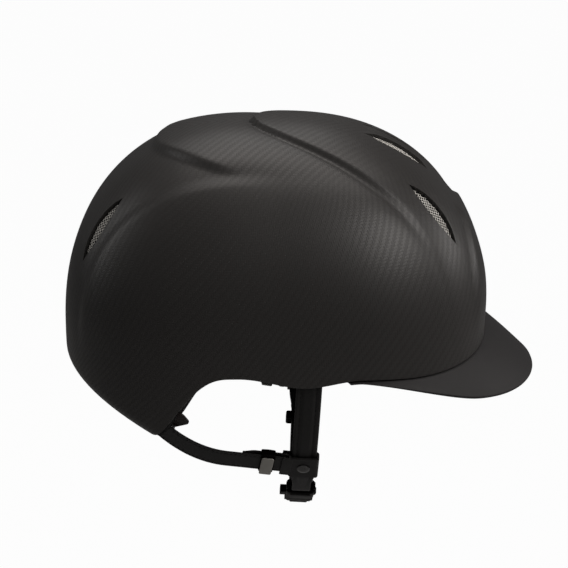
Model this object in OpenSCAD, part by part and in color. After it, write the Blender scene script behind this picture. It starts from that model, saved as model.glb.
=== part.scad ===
// Riding helmet: ribbed hard shell, shock liner, soft peak, comfort lining and leather harness.
// Origin at the middle of the head, +X forward, +Y to the wearer's left, +Z up.

/* [Shell] */
// Reach of the shell in front of the head's centre
front_reach = 135; // [132:0.5:144]
// Reach of the shell behind the head's centre
rear_reach = 133; // [128:1:140]
// Half the shell's width
half_width = 106; // [103:1:112]
// Height of the crown above the head's centre
crown_rise = 125.5; // [122:0.5:132]
// Thickness of the laid-up shell
shell_wall = 2.6; // [2.2:0.1:3.4]
// Height of the scale-like lip along the middle panel's rear edge
lip_rise = 3; // [1:0.5:4]
// Depth of the hollow in front of each raised panel
panel_dip = 2.8; // [0.4:0.4:3.2]
// Height of the raised brow panel
brow_rise = 2; // [1:0.2:3]

/* [Peak] */
// How far the peak's tip lies in front of the head's centre
peak_tip = 168; // [158:1:174]
// How far the tip hangs below the head's centre
peak_hang = 35; // [28:1:38]
// Thickness of the peak
peak_wall = 2.2; // [1.8:0.1:3]
// Angle from straight ahead to the peak's ends
peak_angle = 66; // [60:6:72]

/* [Lining] */
// Length of the head that the helmet fits
head_length = 197; // [190:1:200]
// Breadth of the head that the helmet fits
head_width = 155; // [150:1:158]
// Height of the head's crown above its centre
head_rise = 94; // [88:1:96]
// Thickness of the comfort pads
pad_thick = 6.5; // [5:0.5:8]
// Least thickness of the shock liner
foam_least = 12; // [10:1:13]
// Thickness of the soft trim that closes the rim
trim_thick = 2.6; // [2:0.2:4]
// How far the trim's soft lip hangs below the shell at the nape
nape_lip = 4.5; // [3:0.5:6]

/* [Vents] */
// Length of each crescent vent
vent_length = 47; // [40:1:50]
// Width of the upper and lower front vents
front_vent_width = 12; // [9:0.5:14]
// Width of the rear vents
rear_vent_width = 10.5; // [8:0.5:12]
// Distance between neighbouring holes of the vent mesh
mesh_pitch = 3.6; // [3:0.2:5]
// Width of the wires between the holes
mesh_wire = 1.1; // [0.8:0.1:1.4]
// Thickness of the mesh
mesh_thick = 0.8; // [0.6:0.1:1.2]

/* [Harness] */
// Width of all straps
strap_width = 15.6; // [13:0.2:17]
// Thickness of the front straps
strap_thick = 2.2; // [1.6:0.1:2.4]
// Thickness of the rear straps
rear_strap_thick = 1.2; // [1:0.1:1.4]
// How far the front straps lie inside the shell's half-width
strap_inset = 5.5; // [5:0.5:7]
// How far the chin loop hangs below the straps' upper bend
loop_drop = 122; // [114:1:130]
// Backward lean of the chin loop
loop_lean = 3; // [0:0.5:5]
// Position of the chin loop ahead of the head's centre
loop_x = 18.9; // [14:0.1:26]
// Height of the keeper that joins front and rear strap
keeper_height = 20.5; // [18:0.5:24]
// Distance from the keeper's middle to the slider's middle
slider_at = 23; // [21:0.5:30]
// Reach of the leather tab at a rear strap's anchor
tab_reach = 21; // [18:0.5:23]
// Length of the slider along the strap
slider_length = 9; // [7:0.5:11]
// Radius of the press stud's cap
stud_radius = 4.1; // [3:0.1:5]

/* [Buckle] */
// Length of the buckle's housing
housing_length = 24; // [22:1:28]
// Thickness of the buckle
buckle_thick = 9; // [8:0.5:11]
// Length of the release arms, from pivot to tip
arm_length = 15; // [13:0.5:16]

/* [Hidden] */
$fn = 48;

// Clearance between neighbouring pieces that don't move
fit = 0.3;

// Powers of the shell's rounded plan, its upper half and its lower half
plan_power = 2.85;
top_power = 2.26;
low_power = 2.4;
// How far the lower half would reach down in front, at the sides and behind
front_drop = 280;
side_drop = 184;
rear_drop = 158;
// The plane that draws the back in toward the nape: distance, slope and rounding
nape_reach = 82.5;
nape_angle = 28;
nape_blend = 14;

// The rim as an angle down from the crown: at the brow, then its changes toward the nape
rim_brow = 92.8;
rim_brow_drop = 3.6;
rim_temple_drop = 2.7;
rim_ear_rise = 3.1;
rim_nape_drop = 18;
rim_back_rise = 2.5;

// Height of the brow panel's upper edge
brow_line = 72;
// Half-widths at which the panel lines of the shell fade
front_line_fade = [62, 84];
rear_line_fade = [54, 68];

// Divisions of the shell and the liner
outer_rows = 24;
inner_rows = 13;
cavity_rows = 15;
half_az = concat([for (a = [0:6:102]) a], [for (a = [105:3:147]) a], [for (a = [154:6.5:173.5]) a]);
AZ = concat(half_az, [180], [for (i = [len(half_az) - 1:-1:1]) 360 - half_az[i]]);

function ease(a, b, x) = let (u = max(0, min(1, (x - a) / (b - a)))) u * u * (3 - 2 * u);
function soft_min(a, b, k) =
    let (h = max(0, min(1, 0.5 + (b - a) / (2 * k)))) b * (1 - h) + a * h - k * h * (1 - h);
function unit(v) = v / norm(v);
function mix(a, b, u) = a + (b - a) * u;
function side(a) = abs(a > 180 ? a - 360 : a);
function dir(t, a) = [sin(t) * cos(a), sin(t) * sin(a), cos(t)];
function oval(p, a, q, b, n) = pow(pow(abs(p) / a, n) + pow(abs(q) / b, n), -1 / n);

// Distance from the centre to the plain outer form, at angle t down from the crown and azimuth a
function form_r(t, a) =
    let (
        plan = oval(cos(a), cos(a) > 0 ? front_reach : rear_reach, sin(a), half_width, plan_power),
        drop = mix(side_drop, cos(a) > 0 ? front_drop : rear_drop, cos(a) * cos(a)),
        r = cos(t) > 0 ? oval(sin(t), plan, cos(t), crown_rise, top_power)
            : oval(sin(t), plan, cos(t), drop, low_power),
        lean = -(sin(t) * cos(a) * sin(nape_angle) + cos(t) * cos(nape_angle)),
        cut = lean > 0.05 ? nape_reach / lean : 2 * r
    )
    soft_min(r, min(cut, 2 * r), nape_blend);

// Panels that overlap like scales: the lip of the middle panel, the step behind the front panel,
// the shoulder beside the recessed rear zone and the raised brow
function middle_lip(x, y, z) =
    let (ahead = x + 74.5 - 0.0072 * y * y - 0.0000011 * pow(y, 4))
    lip_rise * ease(-4, 4, ahead) * exp_fall(ahead, 28)
        * (1 - ease(rear_line_fade[0], rear_line_fade[1], abs(y))) * ease(35, 55, z);
function front_step(x, y) =
    let (ahead = x + 13.5 - 0.0186 * y * y)
    -panel_dip * exp_fall(-ahead, 22) * (1 - ease(-3, 3, ahead))
        * (1 - ease(front_line_fade[0], front_line_fade[1], abs(y)));
function shoulder(x, y, z) =
    let (
        out = abs(y) - 68,
        fade = ease(10, -40, x) * ease(-15, 30, z)
    )
    fade * (1.4 * ease(-4, 4, out) * exp_fall(out, 30) - 1.6 * (1 - ease(-4, 4, out)) * exp_fall(-out, 30));
function brow_panel(x, y, z) =
    let (
        half = 63 - 43 * exp(-max(0, brow_line - z) / 25),
        below = ease(-4, 4, brow_line - z)
    )
    ease(50, 70, x) * (
        brow_rise * below * ease(-5, 5, half - abs(y)) * ease(-10, 35, z)
        - 1.8 * (1 - below) * exp_fall(z - brow_line, 14) * (1 - ease(22, 45, abs(y))));
function exp_fall(d, length) = exp(-max(0, d) / length);
function relief(p) =
    middle_lip(p.x, p.y, p.z) + front_step(p.x, p.y) + shoulder(p.x, p.y, p.z) + brow_panel(p.x, p.y, p.z);

function shell_out(t, a) = let (r = form_r(t, a)) r + relief(r * dir(t, a));
function shell_in(t, a) = shell_out(t, a) - shell_wall;
function rim_t(a) =
    let (s = side(a))
    rim_brow + rim_brow_drop * ease(5, 50, s) + rim_temple_drop * ease(62, 80, s)
        - rim_ear_rise * ease(80, 101, s)
        + rim_nape_drop * pow(ease(103, 129, s), 1.5) - rim_back_rise * ease(129, 140, s);
// Angles of the rows, with rows at the tuck of the peak's flange and at the liner's edge
tuck_t = 6.5;
trim_t = (trim_thick + 0.2) / 112 * 180 / PI;
function row_t(k, n, rim) =
    k == n ? rim : k == n - 1 ? rim - trim_t : k == n - 2 ? rim - tuck_t : (rim - 10) * k / (n - 3);
function cavity_t(k, a) = (rim_t(a) - trim_t) * (k <= 7 ? 0.1 * k : 0.7 + 0.3 * (k - 7) / (cavity_rows - 7));

// Space between shell and liner
foam_fit = 0.4;

// The liner's outside steps back where the peak's flange is tucked under the shell
flange_t = 5.4;
function tuck(t, a) =
    (peak_wall + fit) * (1 - ease(peak_angle + 3, peak_angle + 9, side(a)))
        * ease(rim_t(a) - 9.5, rim_t(a) - 6.6, t);
function liner_out(t, a) = shell_in(t, a) - foam_fit - tuck(t, a);

// Inside of the liner: the head with room for the pads and their hook patches
patch_thick = 1.2;
pad_room = pad_thick - 1.5 + 2 * fit;
function cavity_r(t, a) =
    let (
        plan = oval(cos(a), head_length / 2 + pad_room, sin(a), head_width / 2 + pad_room, 2.15),
        head = cos(t) > 0 ? oval(sin(t), plan, cos(t), head_rise + pad_room, 2.1) : plan / max(0.5, sin(t))
    )
    soft_min(head, liner_out(t, a) - foam_least, 9);

function degrees_for(length, r) = length / r * 180 / PI;

// A closed shell through rings of points, from the crown down to the rim on both its sides
module dome(outer, inner) {
    n = len(outer[0]);
    m = len(outer);
    q = len(inner);
    crown_out = [0, 0, outer[0][0].z];
    crown_in = [0, 0, inner[0][0].z];
    k = 1 + m * n;
    points = concat([crown_out], [for (r = outer) each r], [crown_in], [for (r = inner) each r]);
    faces = concat(
        [for (j = [0:n - 1]) [0, 1 + (j + 1) % n, 1 + j]],
        [for (j = [0:n - 1]) [k, k + 1 + j, k + 1 + (j + 1) % n]],
        [for (i = [0:m - 2]) for (j = [0:n - 1])
            let (a = 1 + i * n + j, b = 1 + i * n + (j + 1) % n)
            each (j < n / 2 ? [[a, b, a + n], [b, b + n, a + n]] : [[a, b, b + n], [a, b + n, a + n]])],
        [for (i = [0:q - 2]) for (j = [0:n - 1])
            let (a = k + 1 + i * n + j, b = k + 1 + i * n + (j + 1) % n)
            each (j < n / 2 ? [[a, a + n, b], [b, a + n, b + n]] : [[a, b + n, b], [a, a + n, b + n]])],
        [for (j = [0:n - 1])
            let (
                a = 1 + (m - 1) * n + j, b = 1 + (m - 1) * n + (j + 1) % n,
                c = k + 1 + (q - 1) * n + j, d = k + 1 + (q - 1) * n + (j + 1) % n
            )
            each [[a, b, d], [a, d, c]]]
    );
    polyhedron(points, faces, convexity = 6);
}

// A solid through cross-sections of two chains of points; a closed one joins its last to its first
module band(rings, closed = false) {
    m = len(rings);
    n = len(rings[0]);
    last = closed ? m - 1 : m - 2;
    skin = [for (i = [0:last]) for (j = [0:n - 1])
        let (
            a = i * n + j, b = i * n + (j + 1) % n,
            c = ((i + 1) % m) * n + (j + 1) % n, d = ((i + 1) % m) * n + j
        )
        each (i < m / 2 ? [[a, b, c], [a, c, d]] : [[a, b, d], [b, c, d]])];
    first_cap = [for (j = [0:n / 2 - 2]) each [[j, n - 2 - j, j + 1], [j, n - 1 - j, n - 2 - j]]];
    e = (m - 1) * n;
    last_cap = [for (j = [0:n / 2 - 2])
        each [[e + j, e + j + 1, e + n - 2 - j], [e + j, e + n - 2 - j, e + n - 1 - j]]];
    caps = closed ? [] : concat(first_cap, last_cap);
    polyhedron([for (r = rings) each r], concat(skin, caps), convexity = 6);
}

module both_sides() {
    children();
    mirror([0, 1, 0]) children();
}

// Place of a vent on the shell's right side: angles of both ends, the two bulges of its outline,
// and how far its mesh lies below the inside of the shell
upper_vent = [25.9, 12.4, 46.3, 7, front_vent_width * 0.54, front_vent_width * 0.46, 0.9];
lower_vent = [46.1, 32.5, 64.3, 28.2, front_vent_width * 0.5, front_vent_width * 0.38, 1.3];
rear_vent = [50.3, 150.1, 70, 154.6, rear_vent_width * 0.46, rear_vent_width * 0.54, 2.1];

function on_shell(t, a) = shell_out(t, a) * dir(t, a);
function normal_at(t, a) =
    unit(cross(on_shell(t + 1, a) - on_shell(t - 1, a), on_shell(t, a + 1) - on_shell(t, a - 1)));
function vent_frame(v) =
    let (
        p = on_shell(v[0], -v[1]),
        q = on_shell(v[2], -v[3]),
        t = (v[0] + v[2]) / 2,
        a = -(v[1] + v[3]) / 2,
        u = unit(q - p),
        raw = normal_at(t, a),
        n = unit(raw - (raw * u) * u),
        w = cross(n, u),
        middle = (p + q) / 2,
        sag = (on_shell(t, a) - middle) * n,
        chord = norm(q - p)
    )
    [u, w, n, middle + sag * n, (chord * chord / 4 + sag * sag) / (2 * sag)];
module at_vent(v) {
    f = vent_frame(v);
    multmatrix([for (i = [0:2]) [f[0][i], f[1][i], f[2][i], f[3][i]]]) children();
}
function arc_r(chord, sag) = (chord * chord / 4 + sag * sag) / (2 * sag);
module crescent(chord, over, under) {
    intersection() {
        translate([0, over - arc_r(chord, over)]) circle(arc_r(chord, over), $fn = 180);
        translate([0, arc_r(chord, under) - under]) circle(arc_r(chord, under), $fn = 180);
    }
}
module vent_prism(v, grow, low, high) {
    at_vent(v) translate([0, 0, low]) linear_extrude(high - low)
        crescent(vent_length + 2.2 * grow, v[4] + grow, v[5] + grow);
}
// A drum whose wall follows the shell lengthwise, this far below its outside
module vent_drum(v, depth) {
    r = vent_frame(v)[4];
    at_vent(v) translate([0, 0, -r]) rotate([90, 0, 0])
        cylinder(r = r - depth, h = 80, center = true, $fn = 180);
}
module vent_pocket(v) {
    difference() {
        vent_prism(v, 3.6, -16, 8);
        vent_drum(v, shell_wall + v[6] + mesh_thick + fit);
    }
}
function in_crescent(x, y, v, edge) =
    let (a = arc_r(vent_length, v[4]), b = arc_r(vent_length, v[5]))
    norm([x, y - v[4] + a]) < a - edge && norm([x, y + v[5] - b]) < b - edge;
module vent_mesh(v) {
    hole = mesh_pitch / sqrt(2) - mesh_wire;
    rows = 4;
    columns = 14;
    intersection() {
        difference() {
            vent_drum(v, shell_wall + v[6]);
            vent_drum(v, shell_wall + v[6] + mesh_thick);
        }
        at_vent(v) translate([0, 0, -16]) linear_extrude(24) difference() {
            crescent(vent_length + 5, v[4] + 2.3, v[5] + 2.3);
            for (i = [-columns:columns]) for (j = [-rows:rows])
                let (x = i * mesh_pitch / 2, y = j * mesh_pitch / 2)
                if ((i + j) % 2 == 0 && in_crescent(x, y, v, -0.2))
                    translate([x, y]) rotate(45) square(hole, center = true);
        }
    }
}

module outer_shell() {
    color([0.2, 0.19, 0.18]) difference() {
        dome(
            [for (k = [1:outer_rows]) [for (a = AZ)
                let (t = row_t(k, outer_rows, rim_t(a))) shell_out(t, a) * dir(t, a)]],
            [for (k = [1:inner_rows]) [for (a = AZ)
                let (t = row_t(k, inner_rows, rim_t(a))) shell_in(t, a) * dir(t, a)]]
        );
        both_sides() for (v = [upper_vent, lower_vent, rear_vent]) vent_prism(v, 0, -12, 8);
    }
}

// Pocket in the liner for a front strap and its anchor
anchor_rise = 14;
pocket_top = anchor_rise + 5;
module strap_pocket() {
    in_loop() translate([-strap_width / 2 - 2, -loop_half - 3, -40])
        cube([strap_width + 4, strap_thick / 2 + 3 + 3.4, pocket_top + 40]);
}
module shock_liner() {
    color([0.12, 0.12, 0.12]) difference() {
        dome(
            [for (k = [1:inner_rows - 1]) [for (a = AZ)
                let (t = row_t(k, inner_rows, rim_t(a))) liner_out(t, a) * dir(t, a)]],
            [for (k = [1:cavity_rows]) [for (a = AZ) let (t = cavity_t(k, a)) cavity_r(t, a) * dir(t, a)]]
        );
        both_sides() {
            for (v = [upper_vent, lower_vent, rear_vent]) {
                vent_pocket(v);
                vent_prism(v, -1.6, -45, 0);
            }
            strap_pocket();
            rear_pocket();
            tab_block(fit);
        }
    }
}

// The trim shows as a soft lip below the shell at the nape
module rim_trim() {
    color([0.07, 0.07, 0.07]) difference() {
        band([for (a = AZ)
            let (
                high = rim_t(a) - trim_t + degrees_for(0.2, 112), low = rim_t(a),
                lip = nape_lip * ease(121, 130, side(a)), lip_t = low + degrees_for(lip, 80),
                in_r = cavity_r(low, a)
            )
            [
                in_r * dir(high, a),
                in_r * dir(low, a) + lip * [0, 0, 0.2],
                (in_r + 2) * dir(lip_t, a),
                (liner_out(low, a) - 0.4 * lip) * dir(lip_t, a),
                liner_out(low, a) * dir(low, a),
                liner_out(high, a) * dir(high, a)
            ]],
            closed = true);
        both_sides() {
            strap_pocket();
            rear_pocket();
            tab_block(fit);
        }
    }
}

// The peak: a flange tucked up under the shell, and a brim that spreads downward from below the rim
peak_root = 45;
peak_root_hang = 15;
peak_droop = 3.5;
peak_power = 2.15;
peak_crown = 0.8;
shadow_gap = 1;
brim_rows = 5;
function peak_edge(a) =
    let (q = a * 90 / peak_angle)
    [
        peak_root + (peak_tip - peak_root) * pow(cos(q), 2 / peak_power),
        (half_width - 1) * sign(q) * pow(abs(sin(q)), 2 / peak_power),
        -peak_root_hang - (peak_hang - peak_root_hang) * cos(q) - peak_droop * pow(sin(2 * q), 2)
    ];
// The brim grows out of the rim over this angle at each end
peak_taper = 30;
brim_least = 2;
function brim_full(a) = pow(ease(0, peak_taper, peak_angle - abs(a)), 0.6);
function inward(a) = -peak_wall * unit([cos(a), sin(a), mix(0.15, 1, brim_full(a))]);
function brim_point(a, u) =
    let (
        r = shell_out(rim_t(a), a) - 0.4,
        start = r * dir(rim_t(a) + degrees_for(shadow_gap, r), a),
        rise = [cos(a), sin(a), 1] / sqrt(2),
        full = brim_full(a),
        edge = mix(start + brim_least * [cos(a), sin(a), 0], peak_edge(a), full),
        end = [edge.x, edge.y, min(edge.z, start.z - mix(0.2, 1.2, full))],
        crown = peak_crown * min(1, norm(end - start) / 40)
    )
    mix(start, end, u) + crown * sin(180 * u) * rise;
function peak_section(a) =
    let (
        flange_out = shell_in(rim_t(a), a) - fit,
        top_t = rim_t(a) - flange_t,
        gap_t = rim_t(a) + degrees_for(shadow_gap, flange_out)
    )
    concat(
        [(shell_in(top_t, a) - fit) * dir(top_t, a), flange_out * dir(gap_t, a)],
        [for (k = [0:brim_rows]) brim_point(a, k / brim_rows)],
        [for (k = [brim_rows:-1:0]) brim_point(a, k / brim_rows) + inward(a)],
        [
            (flange_out - peak_wall) * dir(gap_t + degrees_for(peak_wall * 0.7, flange_out), a),
            (shell_in(top_t, a) - fit - peak_wall) * dir(top_t, a)
        ]
    );
module peak() {
    color([0.23, 0.22, 0.22]) band([for (a = [peak_angle:-6:-peak_angle]) peak_section(a)]);
}

// Comfort pads: pillows with drawn-in edges and sewn channels, on the inside of the liner
patch_seat = 1.1;
pad_gap = patch_seat + patch_thick + fit;
pad_edge = 2;
function pillow(u, v, seams) =
    let (
        plump = pow(max(0, sin(180 * u) * sin(180 * v)), 0.5),
        seam = seams > 0 ? 1 - 0.45 * pow(max(0, cos(180 * u * seams * 2)), 8) : 1
    )
    pad_edge + (pad_thick - pad_edge) * plump * seam;
function pad_point(t, a, depth) = (cavity_r(t, a) - pad_gap - depth) * dir(t, a);
module pad(a0, a1, t0, t1, seams, columns = 20, rows = 6) {
    band([for (i = [0:columns])
        let (u = i / columns, a = mix(a0, a1, u), top = t0 >= 0 ? t0 : rim_t(a) + t0, low = rim_t(a) + t1)
        concat(
            [for (j = [0:rows]) let (v = j / rows) pad_point(mix(top, low, v), a, 0)],
            [for (j = [rows:-1:0]) let (v = j / rows) pad_point(mix(top, low, v), a, pillow(u, v, seams))]
        )]);
}
module brow_pad() {
    color([0.1, 0.1, 0.1]) pad(50, -50, -26, -4, 3);
}
module side_pad(s) {
    color([0.1, 0.1, 0.1]) pad(s > 0 ? 110 : -62, s > 0 ? 62 : -110, -22, -4, 2, columns = 12);
}
module nape_pad() {
    color([0.16, 0.12, 0.1]) pad(218, 142, 90, -5, 2, columns = 16);
}
crown_pad_t = 34;
module crown_pad() {
    n = 32;
    rows = 7;
    color([0.1, 0.1, 0.1]) dome(
        [for (k = [1:rows]) [for (j = [0:n - 1]) pad_point(crown_pad_t * k / rows, 360 * j / n, 0)]],
        [for (k = [1:rows]) [for (j = [0:n - 1])
            let (
                u = k / rows,
                seam = 1 - 0.4 * pow(max(0, cos(4 * 360 * j / n)), 8) * u,
                plump = sqrt(max(0, 1 - pow(u, 4))) * seam
            )
            pad_point(crown_pad_t * u, 360 * j / n, mix(pad_edge, pad_thick, plump))]]
    );
}
// Hook patches that hold the pads, each named by its angles
patch_radius = 7;
patch_places = [[80, 30], [80, -30], [84, 86], [84, -86], [95, 161], [95, -161], [27, 0], [20, 180]];
function on_cavity(t, a) = cavity_r(t, a) * dir(t, a);
function cavity_normal(t, a) =
    unit(cross(on_cavity(t + 1, a) - on_cavity(t - 1, a), on_cavity(t, a + 1) - on_cavity(t, a - 1)));
module hook_patches() {
    color([0.05, 0.05, 0.05]) for (p = patch_places) {
        n = cavity_normal(p[0], p[1]);
        u = unit(cross([0, 1, 0.01], n));
        w = cross(n, u);
        o = on_cavity(p[0], p[1]) - n * (patch_seat + patch_thick);
        multmatrix([for (i = [0:2]) [u[i], w[i], n[i], o[i]]]) cylinder(r = patch_radius, h = patch_thick);
    }
}

// The chin loop lies in a plane of its own, leaning back a little
loop_half = half_width - strap_inset;
loop_z = -12;
loop_power = 1.7;
loop_start = 4;
keeper_at = 36.5;
keeper_z = -76;
function loop_point(q) =
    [
        -loop_half * sign(cos(q)) * pow(abs(cos(q)), 2 / loop_power),
        loop_z - loop_drop * pow(sin(q), 2 / loop_power)
    ];
function loop_dir(q) = unit(loop_point(q + 0.5) - loop_point(q - 0.5));
function loop_normal(q) = let (d = loop_dir(q)) [-d.y, d.x];
function loop_chain(angles, shift) = [for (q = angles) loop_point(q) + shift * loop_normal(q)];
function backward(list) = [for (i = [len(list) - 1:-1:0]) list[i]];
module in_loop() {
    translate([loop_x, 0, keeper_z]) rotate([0, loop_lean, 0]) translate([0, 0, -keeper_z]) children();
}
module extrude_in_loop(width, points) {
    rotate([90, 0, 90]) translate([0, 0, -width / 2]) linear_extrude(width) polygon(points);
}
// A front strap's end is folded round a bar of the buckle
bar_radius = 1.3;
bar_gap = bar_radius + 0.25;
buckle_right = 52;
buckle_left = 78;
adjuster_at = 129;
tail_end = 133;
adjuster_bar = 1.4;
layer_step = strap_thick + adjuster_bar + 2 * fit;
function bar_middle(q) = loop_point(q) + (bar_gap + strap_thick / 2) * loop_normal(q);
function fold(q, way, r) =
    [for (f = [0:15:180]) bar_middle(q) + r * (sin(f) * way * loop_dir(q) - cos(f) * loop_normal(q))];
// The left strap's loose end runs back along the strap to the adjuster, coming closer to it
function tail_shift(q) = mix(2 * bar_gap + strap_thick, layer_step, ease(buckle_left, adjuster_at - 6, q));
function tail_chain(half) =
    [for (q = [buckle_left + 4:4:tail_end]) loop_point(q) + (tail_shift(q) + half) * loop_normal(q)];
module front_strap(outline) {
    first = outline[0];
    color([0.13, 0.12, 0.12]) in_loop() difference() {
        extrude_in_loop(strap_width, outline);
        translate([0, first.x, rivet_z]) rotate([90, 0, 0])
            cylinder(r = rivet_radius + 0.1, h = 4 * strap_thick, center = true);
        children();
    }
}
function strap_start(q, half) = [[loop_point(q).x + half, anchor_rise]];
module front_strap_right() {
    angles = [for (k = [0:16]) mix(loop_start, buckle_right, k / 16)];
    half = strap_thick / 2;
    sewn = buckle_right - 7;
    front_strap(concat(
        strap_start(loop_start, -half),
        loop_chain(angles, -half),
        fold(buckle_right, 1, bar_gap + strap_thick),
        [loop_point(sewn) + (strap_thick + half) * loop_normal(sewn)],
        loop_chain([for (q = backward(angles)) if (q <= sewn) q], half),
        strap_start(loop_start, half)
    ))
        extrude_in_loop(strap_width + 2, concat(
            fold(buckle_right, 1, bar_gap), [loop_point(sewn + 3) + half * loop_normal(sewn + 3)]));
}
module front_strap_left() {
    angles = [for (k = [0:30]) mix(180 - loop_start, buckle_left, k / 30)];
    half = strap_thick / 2;
    front_strap(concat(
        strap_start(180 - loop_start, half),
        loop_chain(angles, -half),
        fold(buckle_left, -1, bar_gap + strap_thick),
        tail_chain(half),
        backward(tail_chain(-half)),
        backward(fold(buckle_left, -1, bar_gap)),
        loop_chain(backward(angles), half),
        strap_start(180 - loop_start, -half)
    ));
}
// The adjuster holds the left strap's two layers, one on each side of its middle bar
adjuster_length = 6;
adjuster_wall = 1.5;
module chin_adjuster() {
    p = loop_point(adjuster_at) + layer_step / 2 * loop_normal(adjuster_at);
    d = loop_dir(adjuster_at);
    slot = strap_thick + 2 * fit;
    width = strap_width + 2 * fit + 2 * adjuster_wall;
    color([0.1, 0.1, 0.1]) in_loop() translate([0, p.x, p.y]) rotate([atan2(d.y, d.x), 0, 0]) difference() {
        rounded_block([width, adjuster_length, 2 * slot + adjuster_bar + 2 * adjuster_wall], 1);
        for (k = [-1, 1]) translate([0, 0, k * layer_step / 2])
            cube([strap_width + 2 * fit, adjuster_length + 2, slot], center = true);
    }
}

// Anchor plates inside the shell, and the rivets through plate and strap
rivet_radius = 2;
rivet_z = 5;
plate_thick = 1.5;
rivet_head = 1.1;
module front_anchor() {
    color([0.6, 0.6, 0.62]) in_loop() difference() {
        translate([-6.5, -loop_half + strap_thick / 2 + 0.4, rivet_z - 8]) cube([13, plate_thick, 16]);
        translate([0, -loop_half, rivet_z]) rotate([90, 0, 0])
            cylinder(r = rivet_radius + 0.1, h = 20, center = true);
    }
}
module front_rivet() {
    in_loop() translate([0, -loop_half + strap_thick / 2 + 0.5 + plate_thick, rivet_z]) rotate([90, 0, 0]) {
        cylinder(r = rivet_radius, h = plate_thick + strap_thick + 1.7);
        translate([0, 0, -rivet_head]) cylinder(r = 2 * rivet_radius, h = rivet_head);
    }
}

// The keeper: a leather sleeve round the front strap, with a lug for the rear strap
keeper_wall = 1.3;
keeper_slot = strap_thick + 1.4;
keeper_width = strap_width + 2 * keeper_wall + 2 * fit;
keeper_thick = keeper_slot + 2 * keeper_wall;
keeper_tilt = let (d = loop_dir(keeper_at)) atan2(d.x, -d.y);
lug_thick = 1.2;
lug_length = 6;
lug_bar = 1.8;
layer_gap = 0.15;
rear_slope = 5.7;
module at_keeper() {
    p = loop_point(keeper_at);
    in_loop() translate([0, p.x, p.y]) rotate([keeper_tilt, 0, 0]) children();
}
module at_rear() {
    at_keeper() rotate([0, rear_slope, 0]) children();
}
lug_end = keeper_width / 2 + lug_length;
module strap_keeper() {
    color([0.12, 0.11, 0.11]) difference() {
        union() {
            at_keeper() cube([keeper_width, keeper_thick, keeper_height], center = true);
            at_rear() translate([-lug_end, -lug_thick / 2, -strap_width / 2 - 1.8])
                cube([lug_length + 2, lug_thick, strap_width + 3.6]);
        }
        at_keeper() cube([strap_width + 2 * fit, keeper_slot, keeper_height + 2], center = true);
        at_rear() translate([-lug_end + lug_bar, -lug_thick, -strap_width / 2 - fit])
            cube([turn_out + layer_gap, 2 * lug_thick, strap_width + 2 * fit]);
        at_keeper() rotate([90, 0, 0]) cylinder(r = stud_post + 0.05, h = keeper_thick + 2);
    }
}
stud_post = 1.2;
module press_stud() {
    at_keeper() translate([0, -keeper_thick / 2 - 0.05, 0]) rotate([90, 0, 0]) {
        rotate_extrude() intersection() {
            translate([0, -6]) circle(7.6, $fn = 96);
            square([stud_radius, 3]);
        }
        translate([0, 0, -keeper_wall + 0.1]) cylinder(r = stud_post, h = keeper_wall);
    }
}

// The rear strap runs from the nape to the keeper's lug, folds round its bar and comes back
// through the slider. Its line is straight at first, then bends upward and inward to the nape.
straight_end = 48;
nape_end = 99;
return_end = 50;
up_bend = 0.0078;
in_bend = 0.0044;
turn_in = lug_thick / 2 + layer_gap;
turn_middle = turn_in + rear_strap_thick / 2;
turn_out = turn_in + rear_strap_thick;
fold_u = -lug_end + lug_bar;
function rear_middle(u) = let (d = max(0, -straight_end - u)) [u, in_bend * d * d, up_bend * d * d];
// At a place on the strap's line: the line's direction, the width's direction, outward, and the place
function rear_frame(u) =
    let (t = unit(rear_middle(u - 0.5) - rear_middle(u + 0.5)), w = unit([0, 0, 1] - t.z * t))
    [t, w, cross(w, t), rear_middle(u)];
function strip_ring(frame, half, low, high) =
    [for (c = [[-half, high], [-half, low], [half, low], [half, high]])
        frame[3] + c.x * frame[1] + c.y * frame[2]];
function fold_frame(f) =
    let (n = [sin(f), cos(f), 0])
    [[cos(f), -sin(f), 0], [0, 0, 1], n, [fold_u, 0, 0] + turn_middle * n];
nape_line = [for (k = [0:12]) mix(-straight_end, -nape_end, k / 12)];
module at_rear_frame(u) {
    f = rear_frame(u);
    at_rear() multmatrix([for (i = [0:2]) [f[0][i], f[1][i], f[2][i], f[3][i]]]) children();
}
module rear_strap() {
    half = strap_width / 2;
    low = -rear_strap_thick / 2;
    away = [-return_end - fold_u, 0, 0];
    first = fold_frame(0);
    color([0.13, 0.12, 0.12]) difference() {
        at_rear() band(concat(
            [strip_ring([first[0], first[1], first[2], first[3] + away], half, low, -low)],
            [for (f = [0:15:180]) strip_ring(fold_frame(f), half, low, -low)],
            [for (u = nape_line) strip_ring(rear_frame(u), half, turn_in, turn_out)]
        ));
        at_rear_frame(rear_rivet_u) cylinder(r = rivet_radius + 0.1, h = 8, center = true);
    }
}
// Pocket in the trim and the liner for a rear strap and its anchor
rear_rivet_u = 8 - nape_end;
module rear_pocket() {
    at_rear() band([for (u = [-64:-6:-nape_end - 6])
        strip_ring(rear_frame(u), strap_width / 2 + 1.6, turn_in - plate_thick - 4, turn_out + 1.2)]);
}
module rear_anchor() {
    color([0.6, 0.6, 0.62]) at_rear_frame(rear_rivet_u) difference() {
        translate([-6.5, -6.5, turn_in - 0.45 - plate_thick]) cube([13, 13, plate_thick]);
        cylinder(r = rivet_radius + 0.1, h = 8, center = true);
    }
}
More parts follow.
